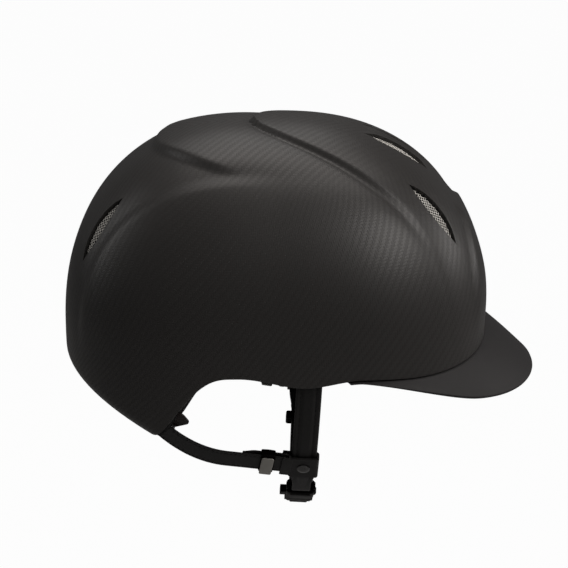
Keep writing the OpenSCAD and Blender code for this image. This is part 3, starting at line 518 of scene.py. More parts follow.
def vent_frame(vent):
    """Lengthwise, crosswise and outward directions of a right-hand vent, its middle, and the shell's radius along it"""
    t0, a0, t1, a1 = vent[:4]
    p, q = on_shell(t0, -a0), on_shell(t1, -a1)
    t, a = (t0 + t1) / 2, -(a0 + a1) / 2
    raw = np.cross(on_shell(t + 1, a) - on_shell(t - 1, a), on_shell(t, a + 1) - on_shell(t, a - 1))
    raw /= np.linalg.norm(raw)
    u = (q - p) / np.linalg.norm(q - p)
    n = raw - raw.dot(u) * u
    n /= np.linalg.norm(n)
    w = np.cross(n, u)
    middle = (p + q) / 2
    sag = (on_shell(t, a) - middle).dot(n)
    chord = np.linalg.norm(q - p)
    return u, w, n, middle + sag * n, (chord * chord / 4 + sag * sag) / (2 * sag)


def crescent_edges(x, vent, grow=0.0):
    """Upper and lower edge of the crescent at a place along it"""
    chord = VENT_LENGTH + 2.2 * grow
    out = []
    for bulge, sign in ((vent[4] + grow, 1), (vent[5] + grow, -1)):
        r = (chord * chord / 4 + bulge * bulge) / (2 * bulge)
        out.append(sign * (bulge - r + np.sqrt(np.maximum(r * r - x * x, 0))))
    return out


def vent_lips(p):
    """How far the shell is raised along the upper edge of the nearest vent"""
    p = p * [1, 1, 1]
    p[:, 1] = -np.abs(p[:, 1])
    lift = np.zeros(len(p))
    for name, vent in VENTS.items():
        u, w, n, middle, _ = vent_frame(vent)
        x, y = (p - middle) @ u, (p - middle) @ w
        up, low = crescent_edges(np.clip(x, -VENT_LENGTH / 2, VENT_LENGTH / 2), vent)
        beyond = np.where(w[2] > 0, y - up, low - y)
        here = ((p - middle) @ n > -25) * (1 - ease(VENT_LENGTH / 2 - 9, VENT_LENGTH / 2 + 1, np.abs(x)))
        lift += vent[7] * here * np.exp(-(np.maximum(0, beyond) / 5.0) ** 2) * ease(-9, -1, beyond)
    return lift


def crescent_cutter(vent, mirrored):
    """A prism through the shell with the crescent's outline"""
    def where(along, around):
        f = around * 2 * math.pi
        x = VENT_LENGTH / 2 * np.cos(f)
        up, low = crescent_edges(x, vent)
        y = np.where(np.sin(f) >= 0, up, low)
        u, w, n, middle, _ = vent_frame(vent)
        p = middle + x[:, None] * u + y[:, None] * w + (along * 22 - 14)[:, None] * n
        return p * np.array([1, -1 if mirrored else 1, 1])

    return tube(72, 1, where)


# Operators: shell and peak

class HELMET_OT_outer_shell(bpy.types.Operator):
    """Model the woven shell with its panel lips and crescent vents"""

    bl_idname = "helmet.outer_shell"
    bl_label = "Outer shell"

    rows: IntProperty(name="Rows", description="Rows from crown to rim", default=124)
    columns: IntProperty(name="Columns", description="Columns round the shell", default=360)

    def execute(self, context):
        s = context.scene.helmet_shell
        bm = bmesh.new()
        bmesh.ops.create_uvsphere(bm, u_segments=self.columns, v_segments=2 * self.rows, radius=1)
        bmesh.ops.delete(bm, geom=[v for v in bm.verts if v.co.z < -1e-4], context="VERTS")

        def where(c):
            a = np.degrees(np.arctan2(c[:, 1], c[:, 0])) % 360
            share = np.arccos(np.clip(c[:, 2], -1, 1)) / (math.pi / 2)
            p = on_shell(share * rim_t(a), a)
            return p * (1 + vent_lips(p) / np.linalg.norm(p, axis=1))[:, None]

        place_verts(bm, where)
        bmesh.ops.recalc_face_normals(bm, faces=bm.faces)
        if min(f.normal.z for f in bm.faces if f.calc_center_median().z > 120) < 0:
            bmesh.ops.reverse_faces(bm, faces=bm.faces)
        bmesh.ops.solidify(bm, geom=bm.faces, thickness=s.wall / MM)
        rim = [e for e in bm.edges if e.calc_face_angle(0) > 1.2]
        bmesh.ops.bevel(bm, geom=rim, offset=0.5, offset_type="OFFSET", segments=2, profile=0.5, affect="EDGES", clamp_overlap=True, material=-1)
        shell = finish("shell_skin", bm, material("laminate"), replaces=["outer_shell"], weld=False)
        cutters = []
        for name, vent in VENTS.items():
            for mirrored in (False, True):
                cutter = bpy.data.meshes.new("cutter")
                cut = crescent_cutter(vent, mirrored)
                bmesh.ops.recalc_face_normals(cut, faces=cut.faces)
                bmesh.ops.scale(cut, vec=(MM, MM, MM), verts=cut.verts)
                cut.to_mesh(cutter)
                cut.free()
                tool = bpy.data.objects.new("cutter", cutter)
                context.scene.collection.objects.link(tool)
                cutters.append(tool)
                modifier = shell.modifiers.new("vent", "BOOLEAN")
                modifier.operation = "DIFFERENCE"
                modifier.solver = "EXACT"
                modifier.object = tool
        apply_modifiers(shell)
        for tool in cutters:
            bpy.data.objects.remove(tool)
        weave_map(shell, s.tow)
        shade(shell.data, 32)
        return {"FINISHED"}


def weave_map(piece, tow):
    """Lays the two cloths on the shell: each starts at the centreline and runs down both sides alike"""
    mesh = piece.data
    co = np.zeros(len(mesh.vertices) * 3)
    mesh.vertices.foreach_get("co", co)
    co = co.reshape(-1, 3)
    index = np.zeros(len(mesh.loops), int)
    mesh.loops.foreach_get("vertex_index", index)

    def lay(name, along, across):
        layer = mesh.uv_layers.new(name=name)
        layer.data.foreach_set("uv", (np.stack([along[index], across[index]], axis=1) / tow).ravel())

    lay("weave", np.arctan2(co[:, 0], np.hypot(co[:, 1], co[:, 2] + 0.03)) * 0.150, np.arctan2(np.abs(co[:, 1]), co[:, 2] + 0.03) * 0.118)
    level = -np.arctan2(np.abs(co[:, 1]), co[:, 0]) * 0.135 / SIDE_SCALE
    height = np.arctan2(co[:, 2] + 0.03, np.hypot(co[:, 0], co[:, 1])) * 0.150 / SIDE_SCALE
    c, n = math.cos(math.radians(SIDE_BIAS)), math.sin(math.radians(SIDE_BIAS))
    lay("weave_side", level * c + height * n, level * n - height * c)
    polar = np.degrees(np.arctan2(np.hypot(co[:, 0], co[:, 1]), co[:, 2]))
    share = ease(30, 46, polar) * ease(-85, -55, co[:, 0] / MM)
    side = mesh.attributes.new("side_cloth", "FLOAT", "POINT")
    side.data.foreach_set("value", share.astype(np.float32))


SIDE_BIAS, SIDE_SCALE = 7.4, 1.22
PEAK_ANGLE = 66.0


def brim_full(a):
    return ease(0, 30, PEAK_ANGLE - np.abs(a)) ** 0.6


def brim_place(a, u):
    """Upper face of the brim at azimuth a and share u from the rim to the edge"""
    s = bpy.context.scene.helmet_shell
    q = np.radians(a * 90 / PEAK_ANGLE)
    cq, sq = np.cos(q).clip(0), np.sin(q)
    edge = np.stack([
        45 + (s.peak_tip / MM - 45) * cq ** (2 / 2.15),
        105 * np.sign(sq) * np.abs(sq) ** (2 / 2.15),
        -15 - 20 * cq - 3.5 * np.sin(2 * q) ** 2], axis=-1)
    r = shell_r(rim_t(a), a) - 0.4
    start = r[..., None] * direction(rim_t(a) + degrees_for(1.0, r), a)
    full = brim_full(a)[..., None]
    outward = np.stack([np.cos(np.radians(a)), np.sin(np.radians(a)), 0 * a], axis=-1)
    edge = start + 2 * outward * (1 - full) + (edge - start) * full
    edge[..., 2] = np.minimum(edge[..., 2], start[..., 2] - 0.2 - full[..., 0])
    crown = 0.8 * np.minimum(1, np.linalg.norm(edge - start, axis=-1) / 40)
    rise = np.stack([np.cos(np.radians(a)), np.sin(np.radians(a)), 1 + 0 * a], axis=-1) / math.sqrt(2)
    return start + (edge - start) * u[..., None] + (crown * np.sin(np.pi * u))[..., None] * rise


class HELMET_OT_peak(bpy.types.Operator):
    """Model the soft peak with its tucked flange and rounded edge"""

    bl_idname = "helmet.peak"
    bl_label = "Peak"

    wall: FloatProperty(name="Wall", description="Thickness of the peak", default=0.0022, unit="LENGTH")

    def execute(self, context):
        wall = self.wall / MM
        section = 60

        def where(along, around):
            a = (along * 2 - 1) * PEAK_ANGLE
            k = np.round(around * section).astype(int)
            inward = -np.stack([np.cos(np.radians(a)), np.sin(np.radians(a)), 0.15 + 0.85 * brim_full(a)], axis=-1)
            inward *= wall / np.linalg.norm(inward, axis=-1, keepdims=True)
            out_r = shell_r(rim_t(a), a) - 2.6 - 0.3
            gap_t = rim_t(a) + degrees_for(1.0, out_r)
            top_t = rim_t(a) - 5.4
            p = np.zeros((len(a), 3))
            brim_n = 24
            upper = k <= brim_n
            p[upper] = brim_place(a[upper], k[upper] / brim_n)
            turn = (k > brim_n) & (k < brim_n + 6)
            f = (k[turn] - brim_n) / 6 * math.pi
            tip, back = brim_place(a[turn], np.ones(turn.sum())), brim_place(a[turn], np.full(turn.sum(), 0.97))
            out = (tip - back) / np.linalg.norm(tip - back, axis=1)[:, None]
            p[turn] = tip + inward[turn] * ((1 - np.cos(f)) / 2)[:, None] + out * (np.sin(f) * wall * 0.35)[:, None]
            lower = (k >= brim_n + 6) & (k <= 2 * brim_n + 6)
            p[lower] = brim_place(a[lower], 1 - (k[lower] - brim_n - 6) / brim_n) + inward[lower]
            inner = k == 2 * brim_n + 7
            p[inner] = ((out_r - wall)[:, None] * direction(gap_t + degrees_for(wall * 0.7, out_r), a))[inner]
            inner = k == 2 * brim_n + 8
            p[inner] = ((shell_r(top_t, a) - 2.9 - wall)[:, None] * direction(top_t, a))[inner]
            inner = k == 2 * brim_n + 9
            p[inner] = ((shell_r(top_t, a) - 2.9)[:, None] * direction(top_t, a))[inner]
            inner = k >= 2 * brim_n + 10
            p[inner] = (out_r[:, None] * direction(gap_t, a))[inner]
            return p

        bm = tube(section, 132, where)
        finish("peak_cover", bm, material("peak"), replaces=["peak"], smooth=50)
        return {"FINISHED"}


# Operators: lining and vents

class HELMET_OT_vent_meshes(bpy.types.Operator):
    """Weave the six pale vent meshes behind their crescents"""

    bl_idname = "helmet.vent_meshes"
    bl_label = "Vent meshes"

    def execute(self, context):
        pitch = context.scene.helmet_lining.mesh_pitch / MM
        for name, vent in VENTS.items():
            u, w, n, middle, radius = vent_frame(vent)
            depth = 2.6 + vent[6] + 0.4
            for side, flip in (("right", 1), ("left", -1)):
                bm = bmesh.new()
                half_x, half_y = VENT_LENGTH / 2 + 3, max(vent[4], vent[5]) + 3
                count_x, count_y = int(2 * half_x / pitch * 1.42), int(2 * half_x / pitch * 1.42)
                bmesh.ops.create_grid(bm, x_segments=count_x, y_segments=count_y, size=half_x * 1.42, matrix=Matrix.Rotation(math.pi / 4, 4, "Z"))
                outside = []
                for v in bm.verts:
                    up, low = crescent_edges(np.array([v.co.x]), vent, 1.6)
                    if abs(v.co.x) > half_x - 1 or v.co.y > up[0] or v.co.y < low[0]:
                        outside.append(v)
                bmesh.ops.delete(bm, geom=outside, context="VERTS")
                bmesh.ops.wireframe(bm, faces=bm.faces, thickness=0.30, use_boundary=True, use_even_offset=True, use_replace=True)

                def where(c):
                    drop = radius - depth - np.sqrt(np.maximum((radius - depth) ** 2 - c[:, 0] ** 2, 0))
                    up, low = crescent_edges(c[:, 0], vent, -0.4)
                    inside = np.minimum(up - 0.2 - c[:, 1], c[:, 1] - low + 0.3)
                    pressed = (depth - vent[8]) * ease(-0.3, 0.6, inside) * ease(-0.5, 1.0, VENT_LENGTH / 2 - np.abs(c[:, 0]))
                    p = middle + c[:, :1] * u + c[:, 1:2] * w + (c[:, 2] * 0.6 - depth - drop + pressed)[:, None] * n
                    return p * np.array([1, flip, 1])

                place_verts(bm, where)
                bmesh.ops.recalc_face_normals(bm, faces=bm.faces)
                finish(f"vent_weave_{name}_{side}", bm, material("mesh"), replaces=[f"vent_mesh_{name}_{side}"], smooth=60)
        return {"FINISHED"}


class HELMET_OT_rim_trim(bpy.types.Operator):
    """Sew the soft trim that closes the rim, with its lip at the nape"""

    bl_idname = "helmet.rim_trim"
    bl_label = "Rim trim"

    def execute(self, context):
        def where(along, around):
            a = along * 360
            s = np.abs(np.where(a > 180, a - 360, a))
            low = rim_t(a)
            high = low - degrees_for(2.6, 112)
            lip = 4.5 * ease(121, 130, s)
            tuck = (2.2 + 0.3) * (1 - ease(PEAK_ANGLE + 3, PEAK_ANGLE + 9, s))
            inner = cavity_r(low, a)
            outer = shell_r(low, a) - 2.6 - 0.4 - tuck
            mid_t = (high + low + degrees_for(lip, 80)) / 2
            half_t = (low + degrees_for(lip, 80) - high) / 2
            f = around * 2 * math.pi
            square = lambda x: np.sign(x) * np.abs(x) ** 0.55
            share = (square(np.cos(f)) + 1) / 2
            t = mid_t - half_t * square(np.sin(f))
            bottom = ease(0, 1, -np.sin(f))
            r = inner + (outer - inner) * share - 0.4 * lip * share * bottom
            return (r[:, None] * direction(t, a))

        bm = ring(20, 240, where)
        finish("trim_knit", bm, material("trim"), replaces=["rim_trim"], smooth=60)
        return {"FINISHED"}


def pad_place(a, t, depth):
    return (cavity_r(t, a) - 2.6 - depth)[:, None] * direction(t, a)


def sewn_pad(name, a0, a1, top, low, seams, replaces, key):
    """A pillow on the inside of the liner, its edges drawn in and its channels sewn"""
    thick = bpy.context.scene.helmet_lining.pad_thick / MM
    bm = bmesh.new()
    bmesh.ops.create_cube(bm, size=1)
    bmesh.ops.subdivide_edges(bm, edges=bm.edges, cuts=1, use_grid_fill=True)
    for cuts, axis in ((6, 0), (3, 1)):
        along = [e for e in bm.edges if abs(e.verts[0].co[axis] - e.verts[1].co[axis]) > 0.2]
        bmesh.ops.subdivide_edges(bm, edges=along, cuts=cuts * 2 - 1, use_grid_fill=True)

    def where(c):
        u, v, w = c[:, 0] + 0.5, c[:, 1] + 0.5, c[:, 2] + 0.5
        a = a0 + (a1 - a0) * u
        rim = rim_t(a % 360)
        t0 = rim + top if top < 0 else top + 0 * a
        t = t0 + (rim + low - t0) * v
        plump = np.maximum(0, np.sin(np.pi * u) * np.sin(np.pi * v)) ** 0.42
        seam = 1 - 0.5 * np.maximum(0, np.cos(np.pi * u * seams * 2)) ** 10
        full = 2 + (thick - 2) * plump * seam
        return pad_place(a % 360, t, full * w)

    place_verts(bm, where)
    bmesh.ops.recalc_face_normals(bm, faces=bm.faces)
    pad = finish(name, bm, material(key), replaces=replaces, smooth=80)
    modifier = pad.modifiers.new("rounded", "SUBSURF")
    modifier.levels = modifier.render_levels = 1
    apply_modifiers(pad)
    shade(pad.data, 180)
    return pad


class HELMET_OT_pads(bpy.types.Operator):
    """Sew the brow, side, nape and crown pads"""

    bl_idname = "helmet.pads"
    bl_label = "Comfort pads"

    def execute(self, context):
        sewn_pad("brow_pillow", 50, -50, -26, -4, 3, ["brow_pad"], "pad")
        sewn_pad("side_pillow_right", -62, -110, -22, -4, 2, ["side_pad_right"], "pad")
        sewn_pad("side_pillow_left", 110, 62, -22, -4, 2, ["side_pad_left"], "pad")
        sewn_pad("nape_pillow", 218, 142, 90, -5, 2, ["nape_pad"], "nape")
        self.crown(context.scene.helmet_lining.pad_thick / MM)
        return {"FINISHED"}

    def crown(self, thick):
        bm = bmesh.new()
        bmesh.ops.create_uvsphere(bm, u_segments=96, v_segments=24, radius=1)

        def where(c):
            a = np.degrees(np.arctan2(c[:, 1], c[:, 0])) % 360
            polar = np.arccos(np.clip(c[:, 2], -1, 1))
            u = np.sin(polar)
            seam = 1 - 0.42 * np.maximum(0, np.cos(4 * np.radians(a))) ** 10 * ease(0.1, 0.6, u)
            upper = c[:, 2] > 0
            full = 2 + (thick - 2) * np.sqrt(np.maximum(0, 1 - u ** 4)) * seam
            depth = np.where(upper, 2 * (1 - np.maximum(c[:, 2], 0)) ** 3 * 0.5, full * (-c[:, 2]) ** 0.5 + 1.0 * (1 + c[:, 2]) ** 3)
            return pad_place(a, 34 * u, depth)

        place_verts(bm, where)
        bmesh.ops.recalc_face_normals(bm, faces=bm.faces)
        pad = finish("crown_pillow", bm, material("pad"), replaces=["crown_pad"], smooth=180)


class HELMET_OT_liner(bpy.types.Operator):
    """Finish the foam liner, its hook patches, anchor plates and rivets"""

    bl_idname = "helmet.liner"
    bl_label = "Liner and anchors"

    def execute(self, context):
        dress("shock_liner", "foam")
        dress("hook_patches", "hooks")
        for node in ("front_anchor_right", "front_anchor_left", "rear_anchor_right", "rear_anchor_left", "anchor_rivets"):
            dress(node, "steel")
        return {"FINISHED"}


# The chin loop, in a plane of its own that leans back a little

LOOP = {"half": 100.5, "z": -12.0, "drop": 122.0, "power": 1.7, "start": 4.0, "lean": 3.0, "x": 18.9, "keeper_z": -76.0, "keeper_at": 36.5}
BAR_GAP = 1.55
BUCKLE_RIGHT, BUCKLE_LEFT, ADJUSTER_AT, TAIL_END = 52.0, 78.0, 129.0, 133.0


def turn(axis, degrees):
    return np.array(Matrix.Rotation(math.radians(degrees), 3, axis))


def loop_point(q):
    q = np.radians(q)
    return np.stack([
        -LOOP["half"] * np.sign(np.cos(q)) * np.abs(np.cos(q)) ** (2 / LOOP["power"]),
        LOOP["z"] - LOOP["drop"] * np.sin(q) ** (2 / LOOP["power"])], axis=-1)


def loop_dir(q):
    d = loop_point(q + 0.5) - loop_point(q - 0.5)
    return d / np.linalg.norm(d, axis=-1, keepdims=True)


def loop_normal(q):
    d = loop_dir(q)
    return np.stack([-d[..., 1], d[..., 0]], axis=-1)


def in_loop(p):
    p = np.asarray(p, float) - [0, 0, LOOP["keeper_z"]]
    return p @ turn("Y", LOOP["lean"]).T + [LOOP["x"], 0, LOOP["keeper_z"]]


def at_keeper(p):
    q = LOOP["keeper_at"]
    d, o = loop_dir(q), loop_point(q)
    tilt = math.degrees(math.atan2(d[0], -d[1]))
    return in_loop(np.asarray(p, float) @ turn("X", tilt).T + [0, o[0], o[1]])


def at_rear(p):
    return at_keeper(np.asarray(p, float) @ turn("Y", 5.7).T)


def strap_section(around, width, thick, raised):
    """Outline of a strap's section: offset across it and height over its middle, on both faces"""
    edge, _ = rounded_rect(around, width, thick, thick * 0.45)
    x, h = edge[:, 0], edge[:, 1]
    share = np.abs(x) / (width / 2)
    bead = 0.75 * (1 - ease(0.36, 0.52, share)) - 0.45 * np.exp(-((share - 0.58) / 0.07) ** 2)
    return x, h + raised * np.where(h > 0, 1, -0.5) * bead * 0.8


def sweep_strap(path, normals, width, thick, raised, sections=44):
    """A strap along a path in the loop's plane, where x is across the strap"""
    steps = len(path) - 1

    def where(along, around):
        k = np.round(along * steps).astype(int)
        low = ease(LOOP["keeper_z"] - 11, LOOP["keeper_z"] - 22, path[k][:, 1])
        x, h = strap_section(around, width, thick, raised * (1 - low))
        p = path[k] - normals[k] * h[:, None]
        return in_loop(np.stack([x * (1 - 0.24 * low), p[:, 0], p[:, 1]], axis=1))

    return tube(sections, steps, where)


def resample(points, step):
    points = np.asarray(points)
    length = np.concatenate([[0], np.cumsum(np.linalg.norm(np.diff(points, axis=0), axis=1))])
    n = max(2, int(length[-1] / step))
    s = np.linspace(0, length[-1], n + 1)
    path = np.stack([np.interp(s, length, points[:, i]) for i in range(points.shape[1])], axis=1)
    d = np.gradient(path, axis=0)
    d /= np.linalg.norm(d, axis=1, keepdims=True)
    return path, d


def front_path(side):
    """Line of a front strap: straight from its anchor, round the chin, and folded round the buckle's bar"""
    thick = bpy.context.scene.helmet_harness.strap_thick / MM
    end, way = (BUCKLE_RIGHT, 1) if side == "right" else (BUCKLE_LEFT, -1)
    start = LOOP["start"] if side == "right" else 180 - LOOP["start"]
    q = np.linspace(start, end, 90)
    line = loop_point(q)
    top = np.array([[line[0][0], 14.0]])
    bar = loop_point(end) + (BAR_GAP + thick / 2) * loop_normal(end)
    f = np.radians(np.arange(10, 181, 10))
    fold = bar + (BAR_GAP + thick / 2) * (np.sin(f)[:, None] * way * loop_dir(end) - np.cos(f)[:, None] * loop_normal(end))
    if side == "left":
        tq = np.linspace(BUCKLE_LEFT + 4, TAIL_END, 50)
        shift = 2 * BAR_GAP + thick + (thick + 2.0 - 2 * BAR_GAP - thick) * ease(BUCKLE_LEFT, ADJUSTER_AT - 6, tq)
        tail = loop_point(tq) + shift[:, None] * loop_normal(tq)
    else:
        tq = np.linspace(BUCKLE_RIGHT - 2, BUCKLE_RIGHT - 7, 8)
        shift = thick + (2 * BAR_GAP) * (1 - ease(0, 1, np.linspace(0.2, 1, 8))) + 0.05
        tail = loop_point(tq) + shift[:, None] * loop_normal(tq)
    return np.concatenate([top, line, fold, tail])


def stitch_row(bm, places, ways, lift, size=(1.1, 0.26, 0.2)):
    """Rows of single stitches, each a small thread along its way"""
    for p, d, n in zip(places, ways, lift):
        side = np.cross(n, d)
        frame_of = Matrix(((d[0], side[0], n[0], p[0]), (d[1], side[1], n[1], p[1]), (d[2], side[2], n[2], p[2]), (0, 0, 0, 1)))
        bmesh.ops.create_icosphere(bm, subdivisions=1, radius=1, matrix=frame_of @ Matrix.Diagonal((*size, 1)))


class HELMET_OT_front_straps(bpy.types.Operator):
    """Sweep the raised leather front straps round the chin and stitch them"""

    bl_idname = "helmet.front_straps"
    bl_label = "Front straps"

    def execute(self, context):
        h = context.scene.helmet_harness
        width, thick = h.strap_width / MM, h.strap_thick / MM
        for side in ("right", "left"):
            path, ways = resample(front_path(side), 1.6)
            sign = 1 if side == "right" else -1
            normals = np.stack([-ways[:, 1], ways[:, 0]], axis=1) * sign
            bm = sweep_strap(path, normals, width, thick, 1.0)
            finish(f"front_strap_leather_{side}", bm, material("leather"), replaces=[f"front_strap_{side}"], smooth=60)
            bm = bmesh.new()
            line, ways = resample(front_path(side)[: 91], h.stitch_pitch / MM)
            normals = np.stack([-ways[:, 1], ways[:, 0]], axis=1) * sign
            for offset in (-0.31, 0.31):
                for k in range(6, len(line) - 3):
                    n3 = np.array([0, *(-normals[k])])
                    d3 = np.array([0, *ways[k]])
                    p = np.array([offset * width, *(line[k] - normals[k] * (thick / 2 - 0.18))])
                    turned = [in_loop(np.array(x)) - in_loop(np.zeros(3)) for x in (d3, n3)]
                    stitch_row(bm, [in_loop(p)], [turned[0]], [turned[1]])
            finish(f"front_stitching_{side}", bm, material("thread"), smooth=180, weld=False)
        return {"FINISHED"}


def rear_middle(u):
    d = np.maximum(0, -48 - u)
    return np.stack([u, 0.0044 * d * d, 0.0078 * d * d], axis=-1)


def rear_frame(u):
    t = rear_middle(u - 0.5) - rear_middle(u + 0.5)
    t /= np.linalg.norm(t, axis=-1, keepdims=True)
    w = np.array([0, 0, 1.0]) - t[..., 2:] * t
    w /= np.linalg.norm(w, axis=-1, keepdims=True)
    return t, w, np.cross(w, t), rear_middle(u)


FOLD_U, TURN_IN, REAR_THICK = -13.6, 0.75, 1.2


def mirror_y(p, flip):
    return np.asarray(p) * np.array([1, flip, 1])


class HELMET_OT_rear_straps(bpy.types.Operator):
    """Sweep the rear straps from the nape, round the keeper's lug and back through the slider"""

    bl_idname = "helmet.rear_straps"
    bl_label = "Rear straps"

    def execute(self, context):
        h = context.scene.helmet_harness
        width = h.strap_width / MM
        middle = TURN_IN + REAR_THICK / 2
        back = np.linspace(-39, FOLD_U, 20)
        rows = [(np.array([u, middle - 1.4 * ease(-31, -39, u), 0.0]), np.array([0, 0, 1.0]), np.array([0, 1.0, 0])) for u in back]
        for f in np.radians(np.arange(12, 180, 12)):
            n = np.array([math.sin(f), math.cos(f), 0])
            rows.append((np.array([FOLD_U, 0, 0]) + middle * n, np.array([0, 0, 1.0]), n))
        for u in np.linspace(FOLD_U, -99, 64):
            t, w, n, m = rear_frame(np.array(u))
            rows.append((m + n * middle, w, n))
        steps = len(rows) - 1
        centre, wide, out = (np.array([r[i] for r in rows]) for i in range(3))
        for side, flip in (("right", 1), ("left", -1)):
            def where(along, around):
                k = np.round(along * steps).astype(int)
                x, hgt = strap_section(around, width, REAR_THICK, 0.0)
                share = np.abs(x) / (width / 2)
                hgt = hgt - 0.16 * np.exp(-((share - 0.72) / 0.05) ** 2) * np.sign(hgt)
                return mirror_y(at_rear(centre[k] + x[:, None] * wide[k] + hgt[:, None] * out[k]), flip)

            bm = tube(40, steps, where)
            finish(f"rear_strap_leather_{side}", bm, material("leather"), replaces=[f"rear_strap_{side}"], smooth=60)
            bm = bmesh.new()
            for u in np.arange(-19, -92, -h.stitch_pitch / MM):
                t, w, n, m = rear_frame(np.array(u))
                for edge in (-0.36, 0.36):
                    p = m + n * (TURN_IN + REAR_THICK - 0.08) + w * edge * width
                    axes = [mirror_y(at_rear(x) - at_rear(np.zeros(3)), flip) for x in (t, n)]
                    stitch_row(bm, [mirror_y(at_rear(p), flip)], [axes[0]], [axes[1]])
            finish(f"rear_stitching_{side}", bm, material("thread"), smooth=180, weld=False)
        return {"FINISHED"}


def sleeve(width, depth, height, wall, rounding, edge, sections=16, steps=96):
    """A rounded sleeve round a strap, its height along Z"""
    def where(along, around):
        path, normal = rounded_rect(along, width - wall, depth - wall, rounding)
        sec, _ = rounded_rect(around, wall, height, edge)
        out = path + normal * sec[:, :1]
        return np.stack([out[:, 0], out[:, 1], sec[:, 1]], axis=1)

    return ring(sections, steps, where)


def rounded_block(size, corner, edge, axis="y"):
    """A block of that size, its corners rounded when seen along the axis, and its other edges too"""
    bm = bmesh.new()
    bmesh.ops.create_cube(bm, size=1)
    bmesh.ops.scale(bm, vec=size, verts=bm.verts)
    k = "xyz".index(axis)
    along = [e for e in bm.edges if abs(e.verts[0].co[k] - e.verts[1].co[k]) > 1e-3]
    bmesh.ops.bevel(bm, geom=along, offset=corner, offset_type="OFFSET", segments=5, profile=0.5, affect="EDGES", clamp_overlap=True, material=-1)
    ends = [e for e in bm.edges if abs(e.verts[0].co[k] - e.verts[1].co[k]) < 1e-3 and e.calc_face_angle(0) > 1.2]
    bmesh.ops.bevel(bm, geom=ends, offset=edge, offset_type="OFFSET", segments=3, profile=0.5, affect="EDGES", clamp_overlap=True, material=-1)
    return bm


def join(target, *others):
    """Adds other bmeshes to the first, which stays one piece"""
    for other in others:
        mesh = bpy.data.meshes.new("part")
        other.to_mesh(mesh)
        other.free()
        target.from_mesh(mesh)
        bpy.data.meshes.remove(mesh)
    return target


def shift(bm, x, y, z):
    bmesh.ops.translate(bm, verts=bm.verts, vec=(x, y, z))
    return bm


def move(bm, where):
    place_verts(bm, where)
    bmesh.ops.recalc_face_normals(bm, faces=bm.faces)
    return bm


class HELMET_OT_keepers(bpy.types.Operator):
    """Model the keeper sleeves with their lugs and the domed press studs"""

    bl_idname = "helmet.keepers"
    bl_label = "Keepers and studs"

    def execute(self, context):
        width = context.scene.helmet_harness.strap_width / MM
        for side, flip in (("right", 1), ("left", -1)):
            outer, deep = width + 2.6 + 0.6, 3.6 + 2.6
            bm = move(sleeve(outer, deep, 20.5, 1.3, 1.2, 0.5, 24), lambda c: mirror_y(at_keeper(c), flip))
            finish(f"keeper_leather_{side}", bm, material("leather"), replaces=[f"strap_keeper_{side}"], smooth=60)

            def lug(along, around):
                path, normal = rounded_rect(along, 3.9, width + 2.2, 1.0)
                sec, _ = rounded_rect(around, 1.7, 1.2, 0.4)
                flat = path + normal * sec[:, :1]
                return mirror_y(at_rear(np.stack([flat[:, 0] - 12.55, sec[:, 1], flat[:, 1]], axis=1)), flip)

            finish(f"keeper_lug_{side}", ring(16, 72, lug), material("leather"), smooth=60)
            flaps = [shift(rounded_block((6.6, 1.2, width + 2.2), 0.6, 0.4), -10.8, s * (TURN_IN + REAR_THICK + 0.75), 0) for s in (-1, 1)]
            wrap = move(join(*flaps), lambda c: mirror_y(at_rear(c), flip))
            finish(f"keeper_wrap_{side}", wrap, material("leather"), smooth=40)
            bm = bmesh.new()
            profile = [(0, 1.55), (1.4, 1.5), (2.6, 1.2), (3.3, 0.8), (3.7, 0.55), (4.05, 0.5), (4.1, 0.25), (4.0, 0.0), (1.15, 0.0), (1.15, -1.1), (0, -1.1)]
            verts = [bm.verts.new((x, 0, z)) for x, z in profile]
            edges = [bm.edges.new(pair) for pair in zip(verts[:-1], verts[1:])]
            bmesh.ops.spin(bm, geom=verts + edges, axis=(0, 0, 1), cent=(0, 0, 0), angle=2 * math.pi, steps=48, use_merge=True)
            bmesh.ops.remove_doubles(bm, verts=bm.verts, dist=1e-4)
            move(bm, lambda c: mirror_y(at_keeper(np.stack([c[:, 0], -c[:, 2] - 3.15, c[:, 1]], axis=1)), flip))
            stud = finish(f"press_stud_{side}", bm, material("stud"), replaces=["press_studs"] if side == "right" else (), smooth=35)
            stud.data.update()
        return {"FINISHED"}


class HELMET_OT_sliders(bpy.types.Operator):
    """Mould the sliders on the rear straps, with their pale face plates"""

    bl_idname = "helmet.sliders"
    bl_label = "Sliders"

    def execute(self, context):
        width = context.scene.helmet_harness.strap_width / MM
        for side, flip in (("right", 1), ("left", -1)):
            def where(along, around):
                path, normal = rounded_rect(along, 2 * (TURN_IN + REAR_THICK) + 0.6 + 1.0, width + 0.3 + 0.7, 1.3)
                sec, _ = rounded_rect(around, 0.7, 9.0, 0.3)
                flat = path + normal * sec[:, :1]
                bulge = 0.25 * np.cos(sec[:, 1] / 9.0 * math.pi) * (sec[:, 0] > 0)
                flat = flat + normal * bulge[:, None]
                return mirror_y(at_rear(np.stack([sec[:, 1] - 23, flat[:, 0], flat[:, 1]], axis=1)), flip)

            finish(f"slider_sleeve_{side}", ring(24, 96, where), material("plastic"), body=f"slider_{side}", replaces=[f"strap_slider_{side}"], smooth=50)
            plate = rounded_block((7.6, 0.9, 17.2), 1.1, 0.35)
            move(plate, lambda c: mirror_y(at_rear(c + [-23, -(TURN_IN + REAR_THICK + 0.3 + 1.0 + 0.15), -1.3]), flip))
            finish(f"slider_plate_{side}", plate, material("slider"), body=f"slider_{side}", smooth=40)
        return {"FINISHED"}


